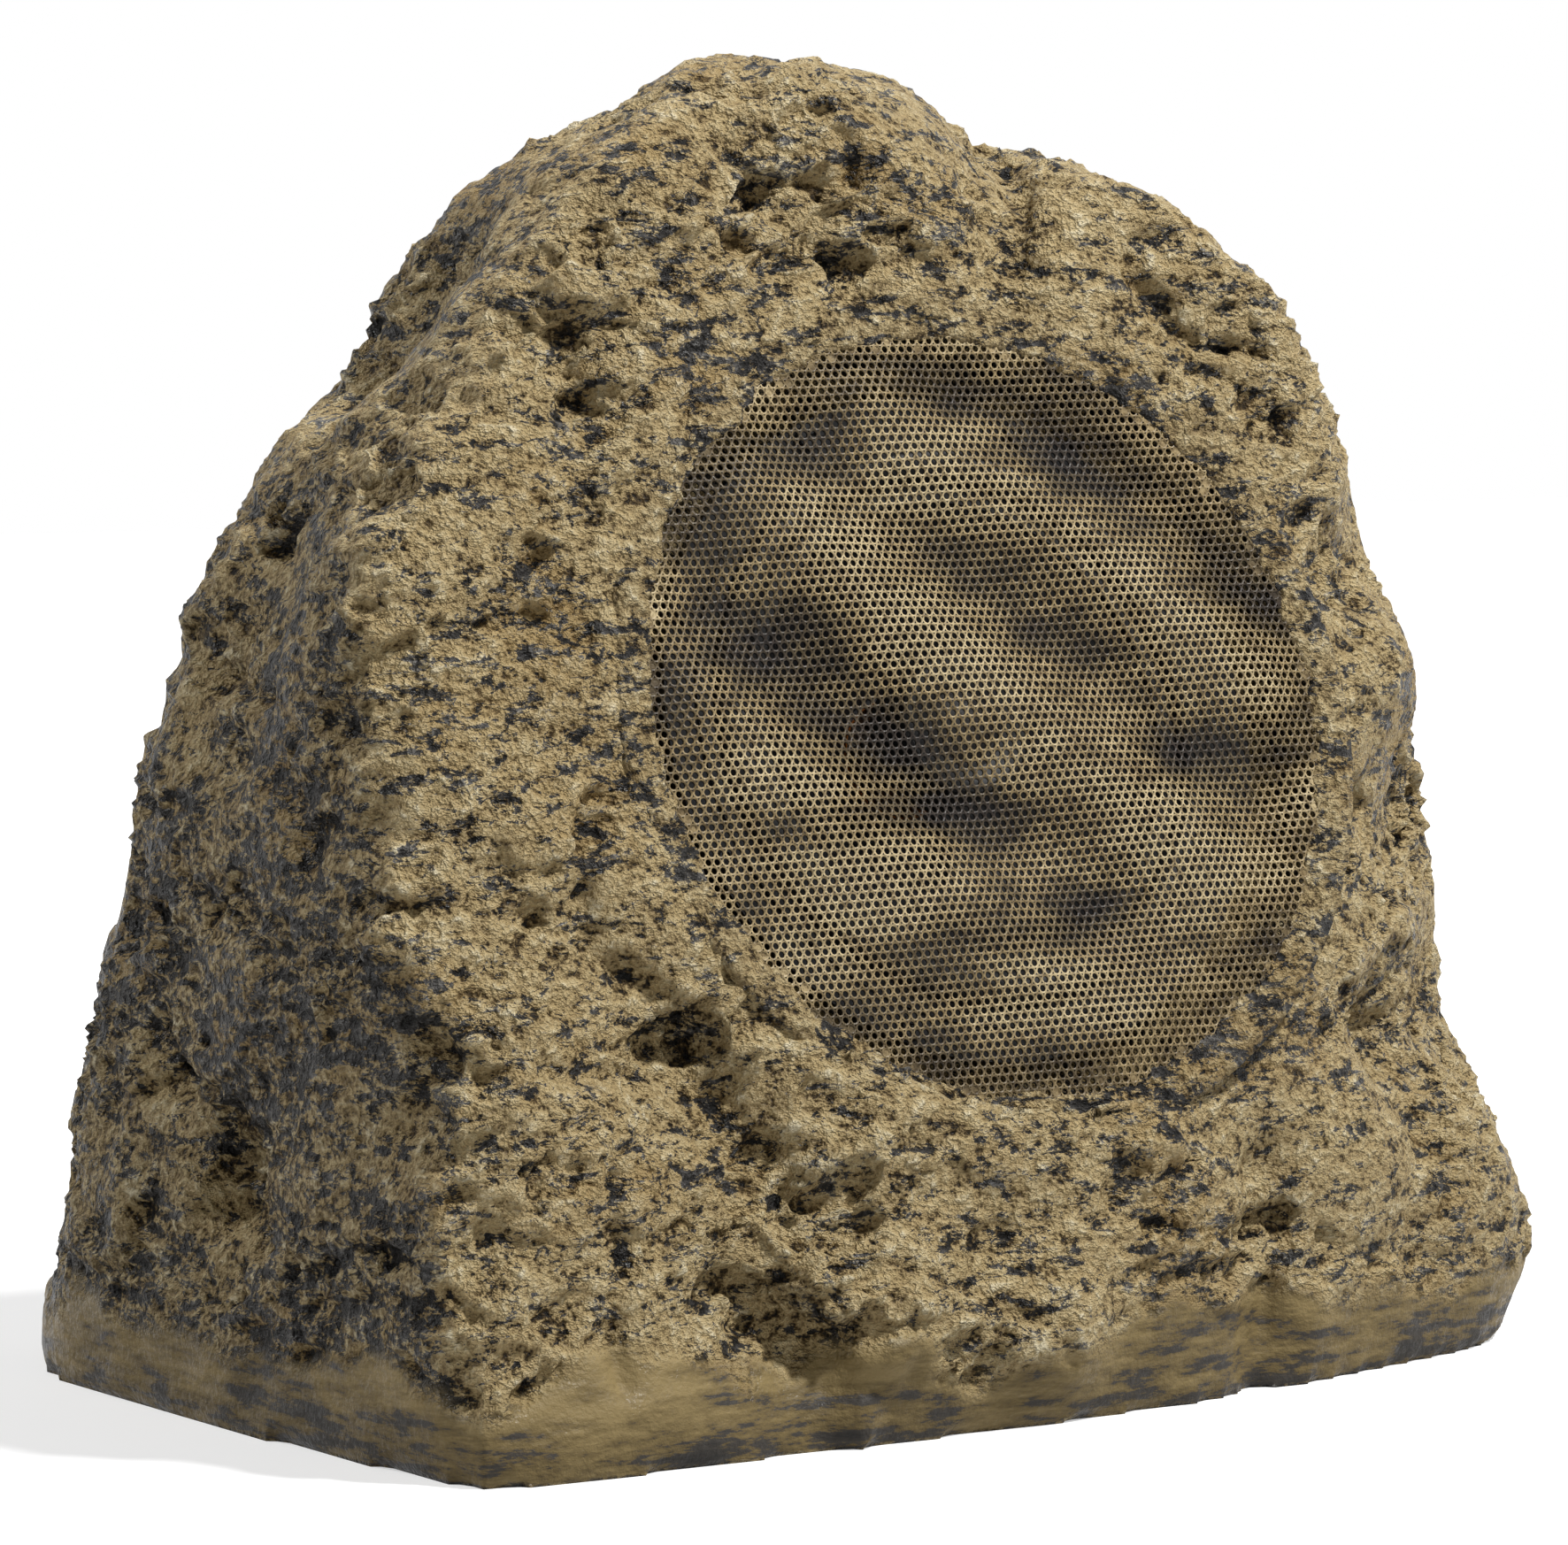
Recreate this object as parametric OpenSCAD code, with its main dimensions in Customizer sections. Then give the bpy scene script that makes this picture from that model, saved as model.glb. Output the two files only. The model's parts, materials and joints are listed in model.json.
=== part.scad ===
// Rock shaped garden speaker: a hollow moulded boulder with a round grille in its
// sloping front, a coaxial loudspeaker behind it and a plate that closes the base.
// The grille looks along -Y and leans back, +Z is up, and the rim stands on Z = 0.

/* [Rock] */
// Width of the rock over its widest part
rock_w = 490; // [476:1:540]
// Depth of the rock from the front of its base to its back
rock_d = 326; // [316:1:370]
// Height of the rock over its summit
rock_h = 404; // [394:1:450]
// Lean of the front face back from upright, degrees
face_lean = 18.5; // [16:0.5:21]
// Exponent that rounds the edges between the cleavage faces: high is sharp
sharpness = 30; // [24:2:60]
// Height of the random roughness of the stone
roughness = 5; // [0:0.5:7]
// Least thickness of the moulded wall
wall = 6; // [4:0.5:9]
// Thickness of the rim outside the base plate
rim_t = 6; // [4:0.5:9]
// Width of the ledge inside the rim that the base plate screws to
ledge_w = 11; // [10:0.5:16]

/* [Grille] */
// Diameter of the perforated sheet
grille_d = 245; // [238:1:250]
// Distance of the sheet behind the rock's front face
grille_set = 3; // [2:0.5:6]
// Height of the centre of the grille above the ground
grille_z = 207; // [200:1:215]
// Distance of the centre of the grille to the left of the middle
grille_left = 11; // [0:1:20]
// Thickness of the sheet
sheet_t = 1.2; // [0.8:0.1:2]
// Height of the swells pressed into the sheet
swell_h = 4; // [0:0.5:5]
// Distance between the holes of the sheet as drawn here
perf_pitch = 21; // [19:0.5:26]
// Depth of the turned edge of the sheet
grille_edge = 6; // [5:0.5:8]

/* [Loudspeaker] */
// Outer diameter of the woofer's flange
flange_d = 208; // [204:1:212]
// Thickness of the flange
flange_t = 4.5; // [3:0.5:6]
// Depth of the mounting land below the grille
land_depth = 22; // [21:0.5:26]
// Thickness of the baffle under the land
baffle_t = 8; // [6:0.5:12]
// Thickness of the gasket under the flange
gasket_t = 1.5; // [1:0.5:3]
// Width of the flange from its edge to the opening of the basket
flange_band = 18; // [16:0.5:20]
// Height of the cone
cone_h = 39; // [34:1:40]
// Diameter of the voice coil former
coil_d = 37; // [32:1:40]
// Diameter of the magnet
magnet_d = 104; // [90:1:110]
// Thickness of the magnet
magnet_t = 17; // [14:1:20]
// Diameter of the tweeter's cup
tweeter_d = 44; // [38:1:46]
// Number of screws round the flange
driver_screw_n = 8; // [4:2:12]

/* [Port] */
// Heading of the port from the middle of the rock, degrees (0 is the front, -90 the left)
port_heading = -113; // [-116:1:-110]
// Inner diameter of the bass port
port_d = 46; // [38:1:50]
// Length of the port tube
port_l = 92; // [70:1:110]

/* [Base and cable entry] */
// Thickness of the base plate
plate_t = 4; // [3:0.5:6]
// Height of the plate above the ground
plate_z = 3; // [2:0.5:5]
// Number of screws round the base plate
base_screw_n = 8; // [6:1:10]
// Heading of the cable gland from the middle of the rock, degrees (180 is the back)
gland_heading = 165; // [158:1:180]
// Height of the cable gland above the ground
gland_z = 46; // [42:1:56]
// Diameter of the cable that the gland takes
cable_d = 7; // [5:0.5:8]

/* [Hidden] */
$fn = 64;

half_w = rock_w / 2;
half_d = rock_d / 2;
lap = 0.01;

// Heart of the rock, which the cleavage faces are measured from
heart = [0, 0, 150];
// Cleavage faces as heading (0 is the front, 90 the right), lean back from upright,
// and distance from the heart
faces = [
    [0, face_lean, half_d - 53],
    [6, 3, half_d - 28],
    [20, 6, half_d - 30],
    [0, 45, half_d + 72],
    [53, 7, half_w - 67],
    [54, 28, half_w - 46],
    [54, 54, half_w - 19],
    [54, 72, half_w - 15],
    [90, 12, half_w - 37],
    [90, 40, half_w - 20],
    [-83, 2, half_w - 6],
    [-90, 2, half_w - 9],
    [-90, 19, half_w - 14],
    [-90, 40, half_w - 12],
    [-118, 9, half_w - 17],
    [-119, 24, half_w - 13],
    [-119, 38, half_w - 12],
    [-118, 64, rock_h - 158],
    [9, 86, rock_h - 156],
    [180, 14, half_d - 41],
    [180, 45, half_d + 30],
    [150, 20, half_d + 20],
    [-150, 20, half_d + 15]
];

// Ridges (height above 0) and hollows (below 0) that follow a line between two points
ridges = [
    [[-226, -112, 150], [-205, -138, 112], 18, 9],
    [[-216, -142, 94], [-222, -150, 50], 16, 8],
    [[-222, -74, 205], [-216, -50, 240], 20, 6],
    [[-208, -56, 290], [-218, -64, 254], 22, 10],
    [[-118, 8, 368], [-126, 30, 346], 24, 6],
    [[-95, -150, 40], [-25, -146, 32], 22, 12],
    [[186, -90, 38], [214, 0, 38], 36, 16],
    [[82, -50, 336], [108, -52, 322], 30, 8],
    [[-36, 24, 394], [28, 26, 392], 44, 12],
    [[150, -79, 219], [168, -45, 215], 20, 4],
    [[-24, -38, 376], [4, -46, 350], 24, 7],
    [[-116, -62, 348], [-85, -50, 366], 20, 6],
    [[-192, -112, 200], [-170, -122, 168], 20, 9],
    [[-180, -130, 132], [-186, -134, 96], 18, 10],
    [[-70, -142, 96], [10, -130, 84], 24, 7],
    [[112, -112, 70], [150, -100, 62], 26, 8],
    [[-228, -118, 122], [-224, -130, 98], 14, -9],
    [[-236, -22, 80], [-238, -28, 66], 15, -17],
    [[-182, -116, 160], [-150, -135, 115], 16, -13],
    [[-150, -135, 112], [-128, -142, 84], 22, -17],
    [[-142, -154, 42], [-112, -152, 22], 17, -17],
    [[-92, -148, 66], [-22, -150, 54], 12, -5],
    [[70, -126, 66], [66, -134, 4], 11, -10],
    [[150, -95, 104], [138, -112, 44], 15, -8],
    [[27, -48, 376], [22, -60, 334], 13, -15],
    [[30, -45, 376], [66, 60, 366], 17, -17],
    [[67, -56, 346], [80, -60, 324], 11, -8],
    [[80, -60, 324], [106, -66, 310], 11, -8],
    [[-74, -44, 378], [-36, -55, 342], 13, -10],
    [[-140, -64, 310], [-140, -68, 300], 12, -11],
    [[138, -76, 248], [160, -38, 246], 22, -19],
    [[150, -92, 176], [172, -55, 168], 24, -14],
    [[150, -92, 106], [188, -56, 104], 20, -16],
    [[-160, -88, 252], [-180, -84, 236], 16, -9],
    [[-178, -100, 214], [-158, -108, 196], 14, -7],
    [[-222, 60, 150], [-234, 10, 110], 26, -6],
    [[-138, 16, 338], [-158, 26, 312], 24, -14],
    [[-196, 20, 300], [-214, 10, 230], 26, -6],
    [[60, 120, 300], [120, 110, 220], 30, -10],
    [[-80, 130, 240], [-140, 120, 160], 30, 9],
    [[180, 60, 180], [190, 70, 110], 28, -9]
];

// The axis that every ray of the rock's surface starts from. The rays start higher and higher up
// to this share of the way from rim to summit, and this power gathers them towards the rim.
axis = [-10, 10];
start_share = 0.8;
ray_power = 1.5;
// How many rays go round and up, outside and inside
columns = 104;
rows = 40;
inner_columns = columns / 2;
inner_rows = 16;
// Height up to which the rim is smooth, and top of the ledge inside it
rim_h = 20;
ledge_top = 30;
// Distance between the main crags of the stone, their share of the roughness, and their steepness
crag_pitch = 51;
main_share = 0.6;
crag_slope = 1.3;
// Width over which the roughness fades towards the grille, and of the blend into the baffle
calm_w = 40;
baffle_blend = 16;
// How much wider a hollow is on the inside of the wall
hollow_spread = 1.8;

function sum(v) = v * [for (x = v) 1];
function mix(a, b, t) = a + (b - a) * t;
function ease(t) = let (c = max(0, min(1, t))) c * c * (3 - 2 * c);
function heading(turn, lean) = [sin(turn) * cos(lean), -cos(turn) * cos(lean), sin(lean)];

// Start and direction of the ray for a heading and a share s of the way from rim to summit
function start(s) = [axis.x, axis.y, heart.z * sin(90 * min(1, s / start_share))];
function ray(turn, s) = heading(turn, 90 * pow(s, ray_power));

// Distance along a ray to the rounded body that the faces bound, each moved in by inset
function reach(o, d, inset) = pow(sum([for (f = faces)
    let (n = heading(f[0], f[1]), out = n * d)
    if (out > 0) pow(out / (f[2] - inset - n * (o - heart)), sharpness)]), -1 / sharpness);

// Distance from a point to the line between two others
function off_line(p, a, b) = let (t = (p - a) * (b - a) / ((b - a) * (b - a)))
    norm(p - a - (b - a) * max(0, min(1, t)));

// Height of the ridges at a point: hollows alone, and wider by spread, for the inside
function relief(p) = sum([for (r = ridges)
    r[3] * exp(-pow(off_line(p, r[0], r[1]) / r[2], 2))]);
function hollow(p, spread) = sum([for (r = ridges) if (r[3] < 0)
    r[3] * exp(-pow(off_line(p, r[0], r[1]) / (r[2] * spread), 2))]);

// Smooth random roughness between -1 and 1, from one random value per cell of a grid
function hash(x, y, z) = let (v = sin(x * 127.1 + y * 311.7 + z * 74.7) * 43758.5) v - floor(v);
function grain(p) = let (i = [for (c = p) floor(c)], u = [for (c = p) ease(c - floor(c))],
    level = [for (z = [0, 1]) mix(
        mix(hash(i.x, i.y, i.z + z), hash(i.x + 1, i.y, i.z + z), u.x),
        mix(hash(i.x, i.y + 1, i.z + z), hash(i.x + 1, i.y + 1, i.z + z), u.x), u.y)])
    2 * mix(level[0], level[1], u.z) - 1;
// Crags: sharp crests wherever the random value passes through nought
function crag(p) = 1 - 2 * min(1, crag_slope * abs(grain(p)));
function rough(p) = roughness * ease(p.z / rim_h) *
    (main_share * crag(p / crag_pitch) + (1 - main_share) * crag(p / crag_pitch * 2.1));

// Place of a point in the frame of the grille: right, up the face and outward
face_out = heading(0, face_lean);
face_up = [0, sin(face_lean), cos(face_lean)];
grille_at = let (depth = faces[0][2] - grille_set + face_out * heart)
    [-grille_left, (depth - face_out.z * grille_z) / face_out.y, grille_z];
baffle_w = -land_depth - baffle_t;
baffle_r = grille_d / 2 + 26;
calm_r = grille_d / 2 + 4;

// Skin of the rock, which gets rougher away from the edge of the grille
function skin(turn, s) = let (o = start(s), d = ray(turn, s), p = o + d * reach(o, d, 0),
    far = norm([(p - grille_at).x, (p - grille_at) * face_up]) + (d * face_out > 0 ? 0 : grille_d))
    p + d * (relief(p) + rough(p) * ease((far - calm_r) / calm_w));

// Inside of the wall: behind the baffle near the grille, and a ledge above the rim
function lining(turn, s) = let (o = start(s), d = ray(turn, s),
    p = o + d * reach(o, d, 0),
    deep = p.z < ledge_top ? rim_t + ledge_w : wall + roughness,
    t = reach(o, d, deep) + hollow(p, hollow_spread),
    q = o + d * t,
    r = norm([(q - grille_at).x, (q - grille_at) * face_up]),
    out = d * face_out,
    t_baffle = out > 0.05 ? ((grille_at - o) * face_out + baffle_w) / out : t,
    near = out > 0.05 ? 1 - ease((r - baffle_r) / baffle_blend) : 0)
    o + d * min(t, mix(t, t_baffle, near));

// Outline of the rim at the ground, moved in by inset
function rim(inset) = [for (i = [0:inner_columns - 1])
    let (d = ray(360 * i / inner_columns, 0), o = start(0), p = o + d * reach(o, d, 0),
        q = o + d * (reach(o, d, inset) + relief(p)))
    [q.x, q.y]];
function rim_at(turn, inset) = let (d = ray(turn, 0), o = start(0), p = o + d * reach(o, d, 0))
    o + d * (reach(o, d, inset) + relief(p));

// Stack of the loudspeaker along its axis: each level is a height above the sheet
land_w = -land_depth;
flange_w = land_w + gasket_t;
flange_top = flange_w + flange_t;
cone_top = flange_top;
cone_bottom = cone_top - 1 - cone_h;
shelf_w = cone_bottom - 11;
motor_w = shelf_w - 12;
plate_t_steel = 6;
magnet_top = motor_w - plate_t_steel;
magnet_bottom = magnet_top - magnet_t;
back_t = 8;
coil_t = 0.4;
winding_t = 1;
gap = 1;
travel = 4;
cone_t = 1.2;
roll_r = 5.5;
foot_w = 6.5;
surround_t = 1;
screw_d = 4;
screw_fit = 0.1;
flange_inner = flange_d / 2 - flange_band;
roll_lap = 2;
cone_d = 2 * (flange_inner + roll_lap - 2 * roll_r);
screw_ring = flange_d / 2 - 5;
bowl_top = flange_inner + 4;
bowl_bottom = magnet_d / 2 + 10;
bowl_t = 2;
cutout_r = bowl_top + 3;
pole_r = coil_d / 2 - gap;
pole_bore = 4;
grille_clear = 0.6;
grille_shelf = 6;
tweeter_face_w = flange_top + 1;

// Base: levels above the ground, and the seat of the plate in the rim
base_gasket_t = 1.5;
plate_top = plate_z + plate_t;
ledge_z = plate_top + base_gasket_t;
plate_gap = 1;
base_turns = [for (i = [0:base_screw_n - 1]) 360 * (i + 0.5) / base_screw_n];
pilot_h = 14;

// Board of the crossover, standing on the base plate
board_at = [-15, 45];
board_size = [112, 72];
board_t = 1.6;
standoff_h = 8;
board_top = plate_top + standoff_h + board_t;
board_inset = 6;

// Port, on the back of the left flank, and the gland low on the back
port_share = 0.35;
port_turn = port_heading - 11;
port_lean = 14;
recess = 9;
port_at = let (o = start(port_share), d = ray(port_heading, port_share))
    o + d * reach(o, d, 0) - recess * heading(port_turn, port_lean);
port_flange_t = 2;
port_tube_t = 2;
port_flange_r = port_d / 2 + 6;
port_boss_t = 12;
gland_at = let (o = [axis.x, axis.y, gland_z], d = heading(gland_heading, 0))
    o + d * reach(o, d, 0) - recess * heading(180, 0);
gland_thread_r = cable_d / 2 + 2.5;
gland_hex_d = 2 * gland_thread_r + 7;
gland_wall = 13;

module placed(at, turn, lean, w = 0) {
    translate(at) rotate([90 - lean, 0, turn]) translate([0, 0, w]) children();
}
module at_face(w = 0) { placed(grille_at, 0, face_lean, w) children(); }
module at_port(w = 0) { placed(port_at, port_turn, port_lean, w) children(); }
module at_gland(w = 0) { placed(gland_at, 180, 0, w) children(); }
module round_it(n, r) { for (i = [0:n - 1]) rotate(360 * (i + 0.5) / n) translate([r, 0]) children(); }
module ring(r_out, r_in, h) {
    difference() {
        cylinder(r = r_out, h = h);
        translate([0, 0, -1]) cylinder(r = r_in, h = h + 2);
    }
}
// Pan head screw whose head sits on Z = 0 with its shank below
module pan_screw(d, length) {
    difference() {
        union() {
            cylinder(r = d, h = 0.6 * d);
            translate([0, 0, -length]) cylinder(d = d, h = length + lap);
        }
        translate([0, 0, 0.35 * d]) linear_extrude(d) square([1.2 * d, 0.25 * d], center = true);
        translate([0, 0, 0.35 * d]) linear_extrude(d) square([0.25 * d, 1.2 * d], center = true);
    }
}

// Body of the rock: the skin outside, the lining inside and the rim between them
module rock_body() {
    n = columns;
    m = inner_columns;
    outside = [for (j = [0:rows - 1]) for (i = [0:n - 1]) skin(360 * i / n, j / rows)];
    inside = [for (j = [0:inner_rows - 1]) for (i = [0:m - 1]) lining(360 * i / m, j / inner_rows)];
    base = len(outside) + 1;
    summit = base - 1;
    roof = base + len(inside);
    outer_wall = [for (j = [0:rows - 2]) for (i = [0:n - 1])
        let (a = j * n + i, b = j * n + (i + 1) % n)
        each [[a, a + n, b + n], [a, b + n, b]]];
    outer_top = [for (i = [0:n - 1]) [(rows - 1) * n + i, summit, (rows - 1) * n + (i + 1) % n]];
    inner_wall = [for (j = [0:inner_rows - 2]) for (i = [0:m - 1])
        let (a = base + j * m + i, b = base + j * m + (i + 1) % m)
        each [[a, b + m, a + m], [a, b, b + m]]];
    inner_top = [for (i = [0:m - 1])
        let (a = base + (inner_rows - 1) * m) [a + i, a + (i + 1) % m, roof]];
    rim_faces = [for (i = [0:m - 1]) let (a = base + i, b = base + (i + 1) % m, c = 2 * i)
        each [[a, c, c + 1], [a, c + 1, b], [b, c + 1, (c + 2) % n]]];
    polyhedron(concat(outside, [skin(0, 1)], inside, [lining(0, 1)]),
        concat(outer_wall, outer_top, inner_wall, inner_top, rim_faces));
}
// Length of the cuts that run out through the skin
cut_h = 60;
module rock_shell() {
    color("tan") difference() {
        union() {
            rock_body();
            at_port(-port_boss_t) cylinder(r = port_flange_r + 4, h = port_boss_t - 1);
            at_gland(-gland_wall) cylinder(r = gland_hex_d / 2 + 6, h = gland_wall - 1);
        }
        at_face(-grille_edge) cylinder(r = grille_d / 2 + grille_clear, h = cut_h);
        at_face(land_w) cylinder(r = grille_d / 2 - grille_shelf, h = cut_h);
        at_face(baffle_w - 5) cylinder(r = cutout_r, h = cut_h);
        at_face(land_w - 7) round_it(driver_screw_n, screw_ring) cylinder(d = screw_d + screw_fit, h = 20);
        translate([0, 0, -1]) linear_extrude(ledge_z + 1) polygon(rim(rim_t));
        for (turn = base_turns) translate(rim_at(turn, rim_t + ledge_w / 2))
            cylinder(d = screw_d + screw_fit, h = ledge_z + pilot_h);
        at_port() cylinder(r = port_flange_r + 0.5, h = cut_h);
        at_port(-cut_h / 2) cylinder(r = port_d / 2 + port_tube_t + 0.2, h = cut_h);
        at_gland() cylinder(r = gland_hex_d / 2 + 4, h = cut_h);
        at_gland(-cut_h / 2) cylinder(r = gland_thread_r + 0.1, h = cut_h);
    }
}

// Swells pressed into the sheet: right, up, width and height as shares of swell_h
swells = [
    [[-80, 70], [60, -40], 26, 1],
    [[-30, 95], [95, 10], 22, 0.8],
    [[-100, 0], [30, -95], 24, 0.9],
    [[-95, 40], [20, -60], 20, -1],
    [[-60, 95], [90, -30], 18, -0.9],
    [[10, 100], [100, 50], 16, -0.6]
];
function swell(p) = swell_h * ease((grille_d / 2 - 4 - norm(p)) / 18) *
    sum([for (s = swells) s[3] * exp(-pow(off_line(p, s[0], s[1]) / s[2], 2))]);

// Disc whose two sides both follow the swells, as a closed mesh
module swelled_disc(r, t) {
    n = 36;
    rings = 7;
    flat = concat([[0, 0]],
        [for (j = [1:rings]) for (i = [0:n - 1]) r * j / rings * [cos(360 * i / n), sin(360 * i / n)]]);
    top = [for (p = flat) [p.x, p.y, swell(p)]];
    low = [for (p = flat) [p.x, p.y, swell(p) - t]];
    k = len(flat);
    fan = [for (i = [0:n - 1]) [0, 1 + (i + 1) % n, 1 + i]];
    grid = [for (j = [0:rings - 2]) for (i = [0:n - 1])
        let (a = 1 + j * n + i, b = 1 + j * n + (i + 1) % n)
        each [[a, b + n, a + n], [a, b, b + n]]];
    sheet = concat(fan, grid);
    edge = [for (i = [0:n - 1]) let (a = 1 + (rings - 1) * n + i, b = 1 + (rings - 1) * n + (i + 1) % n)
        each [[a, b, b + k], [a, b + k, a + k]]];
    polyhedron(concat(top, low), concat(sheet, [for (f = sheet) [f[2] + k, f[1] + k, f[0] + k]], edge));
}
// Centres of the holes: rows of staggered points inside a circle
function holes(pitch, r) = [for (j = [-20:20]) for (i = [-20:20])
    let (p = pitch * [i + (j % 2 == 0 ? 0 : 0.5), j * sqrt(3) / 2]) if (norm(p) < r) p];
module grille() {
    r = grille_d / 2;
    color("rosybrown") at_face() difference() {
        union() {
            swelled_disc(r - 1, sheet_t);
            translate([0, 0, -grille_edge]) ring(r, r - 2, grille_edge);
        }
        for (p = holes(perf_pitch, r - 8)) translate([p.x, p.y, -12])
            cylinder(d = perf_pitch * 0.64, h = 24, $fn = 24);
    }
}
module port_grille() {
    pitch = perf_pitch / 3;
    color("rosybrown") at_port(port_flange_t) linear_extrude(sheet_t) difference() {
        circle(r = port_flange_r);
        for (p = holes(pitch, port_d / 2 - pitch / 3)) translate(p) circle(d = pitch * 0.64, $fn = 24);
    }
}
module port_tube() {
    color("dimgray") at_port() difference() {
        union() {
            cylinder(r = port_flange_r, h = port_flange_t);
            translate([0, 0, -port_l]) cylinder(r = port_d / 2 + port_tube_t, h = port_l + lap);
        }
        translate([0, 0, -port_l - 1]) cylinder(d = port_d, h = port_l + port_flange_t + 2);
    }
}

module driver_gasket() {
    color("dimgray") at_face(land_w) difference() {
        ring(flange_d / 2, cutout_r, gasket_t);
        translate([0, 0, -1]) round_it(driver_screw_n, screw_ring)
            cylinder(d = screw_d + 1, h = gasket_t + 2);
    }
}
module woofer_basket() {
    windows = 6;
    color("slategray") at_face() difference() {
        union() {
            rotate_extrude($fn = 96) polygon([
                [flange_inner, flange_top], [flange_d / 2, flange_top], [flange_d / 2, flange_w],
                [bowl_top, flange_w], [bowl_bottom, shelf_w - bowl_t], [magnet_d / 2 + 2, shelf_w - bowl_t],
                [magnet_d / 2 + 2, motor_w], [coil_d / 2 + 4, motor_w], [coil_d / 2 + 4, motor_w + bowl_t],
                [magnet_d / 2, motor_w + bowl_t], [magnet_d / 2, shelf_w - bowl_t + lap],
                [magnet_d / 2 - 2, shelf_w - bowl_t + lap], [magnet_d / 2 - 2, shelf_w],
                [bowl_bottom - bowl_t - 1, shelf_w], [flange_inner, flange_w]]);
            translate([-13, -bowl_bottom - 13, shelf_w - bowl_t]) cube([26, 16, bowl_t]);
        }
        for (i = [0:windows - 1]) rotate(360 * i / windows)
            translate([bowl_bottom - 18, -20, shelf_w + 6]) cube([60, 40, flange_w - shelf_w - 14]);
        translate([0, 0, flange_w - 1]) round_it(driver_screw_n, screw_ring)
            cylinder(d = screw_d + 0.5, h = flange_t + 2);
    }
}
module woofer_surround() {
    mid = cone_d / 2 + roll_r - 0.5;
    color("black") at_face(cone_top) rotate_extrude($fn = 96) union() {
        translate([mid, surround_t / 2]) difference() {
            circle(r = roll_r + surround_t / 2, $fn = 32);
            circle(r = roll_r - surround_t / 2, $fn = 32);
            translate([-10, -20]) square([20, 20]);
        }
        translate([mid + roll_r - surround_t / 2, 0]) square([foot_w, surround_t]);
        translate([mid - roll_r + surround_t / 2 - foot_w, 0]) square([foot_w, surround_t]);
    }
}
// Cone: a lip under the surround, a flared wall and a neck round the former
cone_steps = 8;
function cone_line(t) = [mix(cone_d / 2 - foot_w, coil_d / 2 + coil_t + 1, t),
    mix(cone_top - 1, cone_bottom, pow(t, 0.85))];
module woofer_cone() {
    neck = coil_d / 2 + coil_t;
    front = [for (i = [0:cone_steps]) cone_line(i / cone_steps)];
    back = [for (i = [cone_steps:-1:0]) cone_line(i / cone_steps) - [0, cone_t]];
    color("darkslategray") at_face() rotate_extrude($fn = 96) union() {
        polygon(concat(front, back));
        translate([cone_d / 2 - foot_w - 0.2, cone_top - 1 - cone_t / 4])
            square([foot_w + 0.2, 1 + cone_t / 4]);
        translate([neck, cone_bottom - 4]) square([cone_t, 5]);
    }
}
module coil_former() {
    color("goldenrod") at_face(motor_w - plate_t_steel - 3)
        ring(coil_d / 2 + coil_t, coil_d / 2, cone_bottom + 2 - (motor_w - plate_t_steel - 3));
}
module voice_coil() {
    h = plate_t_steel + 6;
    color("chocolate") at_face(motor_w - plate_t_steel / 2 - h / 2)
        ring(coil_d / 2 + coil_t + winding_t, coil_d / 2 + coil_t, h);
}
module spider() {
    r0 = coil_d / 2 + coil_t;
    r1 = magnet_d / 2 - 1;
    collar = 1.6;
    waves = 5;
    t = 0.6;
    steps = 12 * waves;
    line = [for (i = [0:steps])
        [mix(r0 + collar, r1, i / steps), t / 2 - 1.8 * sin(360 * waves * i / steps)]];
    color("khaki") at_face(shelf_w) rotate_extrude($fn = 72) polygon(concat(
        [[r0 + collar, -1.5], [r0, -1.5], [r0, 2.5], [r0 + collar, 2.5]],
        [for (p = line) p + [0, t / 2]],
        [[bowl_bottom - bowl_t - 1, t], [bowl_bottom - bowl_t - 1, 0]],
        [for (i = [steps:-1:0]) line[i] - [0, t / 2]]));
}
module top_plate() {
    color("silver") at_face(magnet_top)
        ring(magnet_d / 2 - 2, coil_d / 2 + coil_t + winding_t + gap, plate_t_steel);
}
module magnet() {
    color("dimgray") at_face(magnet_bottom) ring(magnet_d / 2, coil_d / 2 + 10, magnet_t);
}
module back_plate() {
    color("silver") at_face(magnet_bottom) difference() {
        union() {
            translate([0, 0, -back_t]) cylinder(r = magnet_d / 2 - 2, h = back_t);
            cylinder(r = pole_r, h = motor_w - magnet_bottom);
        }
        translate([0, 0, -back_t - 1]) cylinder(r = pole_bore, h = motor_w - magnet_bottom + back_t + 2);
    }
}

cup_h = 18;
cup_w = tweeter_face_w - 2 - cup_h;
dome_r = 11;
module tweeter_post() {
    color("dimgray") at_face() difference() {
        union() {
            translate([0, 0, motor_w]) cylinder(r1 = 10, r2 = 8, h = cup_w - motor_w);
            translate([0, 0, motor_w - 18]) cylinder(r = pole_bore - screw_fit, h = 18 + lap);
        }
        translate([0, 0, motor_w - 19]) cylinder(r = 1.2, h = cup_w - motor_w + 20, $fn = 24);
    }
}
module tweeter_cup() {
    r = tweeter_d / 2;
    color("black") at_face(cup_w) difference() {
        cylinder(r = r, h = cup_h);
        translate([0, 0, 2]) cylinder(r = r - 3, h = cup_h);
        translate([0, 0, cup_h - 1]) cylinder(r = r - 1.5, h = 2);
        translate([0, 0, -1]) cylinder(r = 1.2, h = 4, $fn = 24);
    }
}
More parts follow.
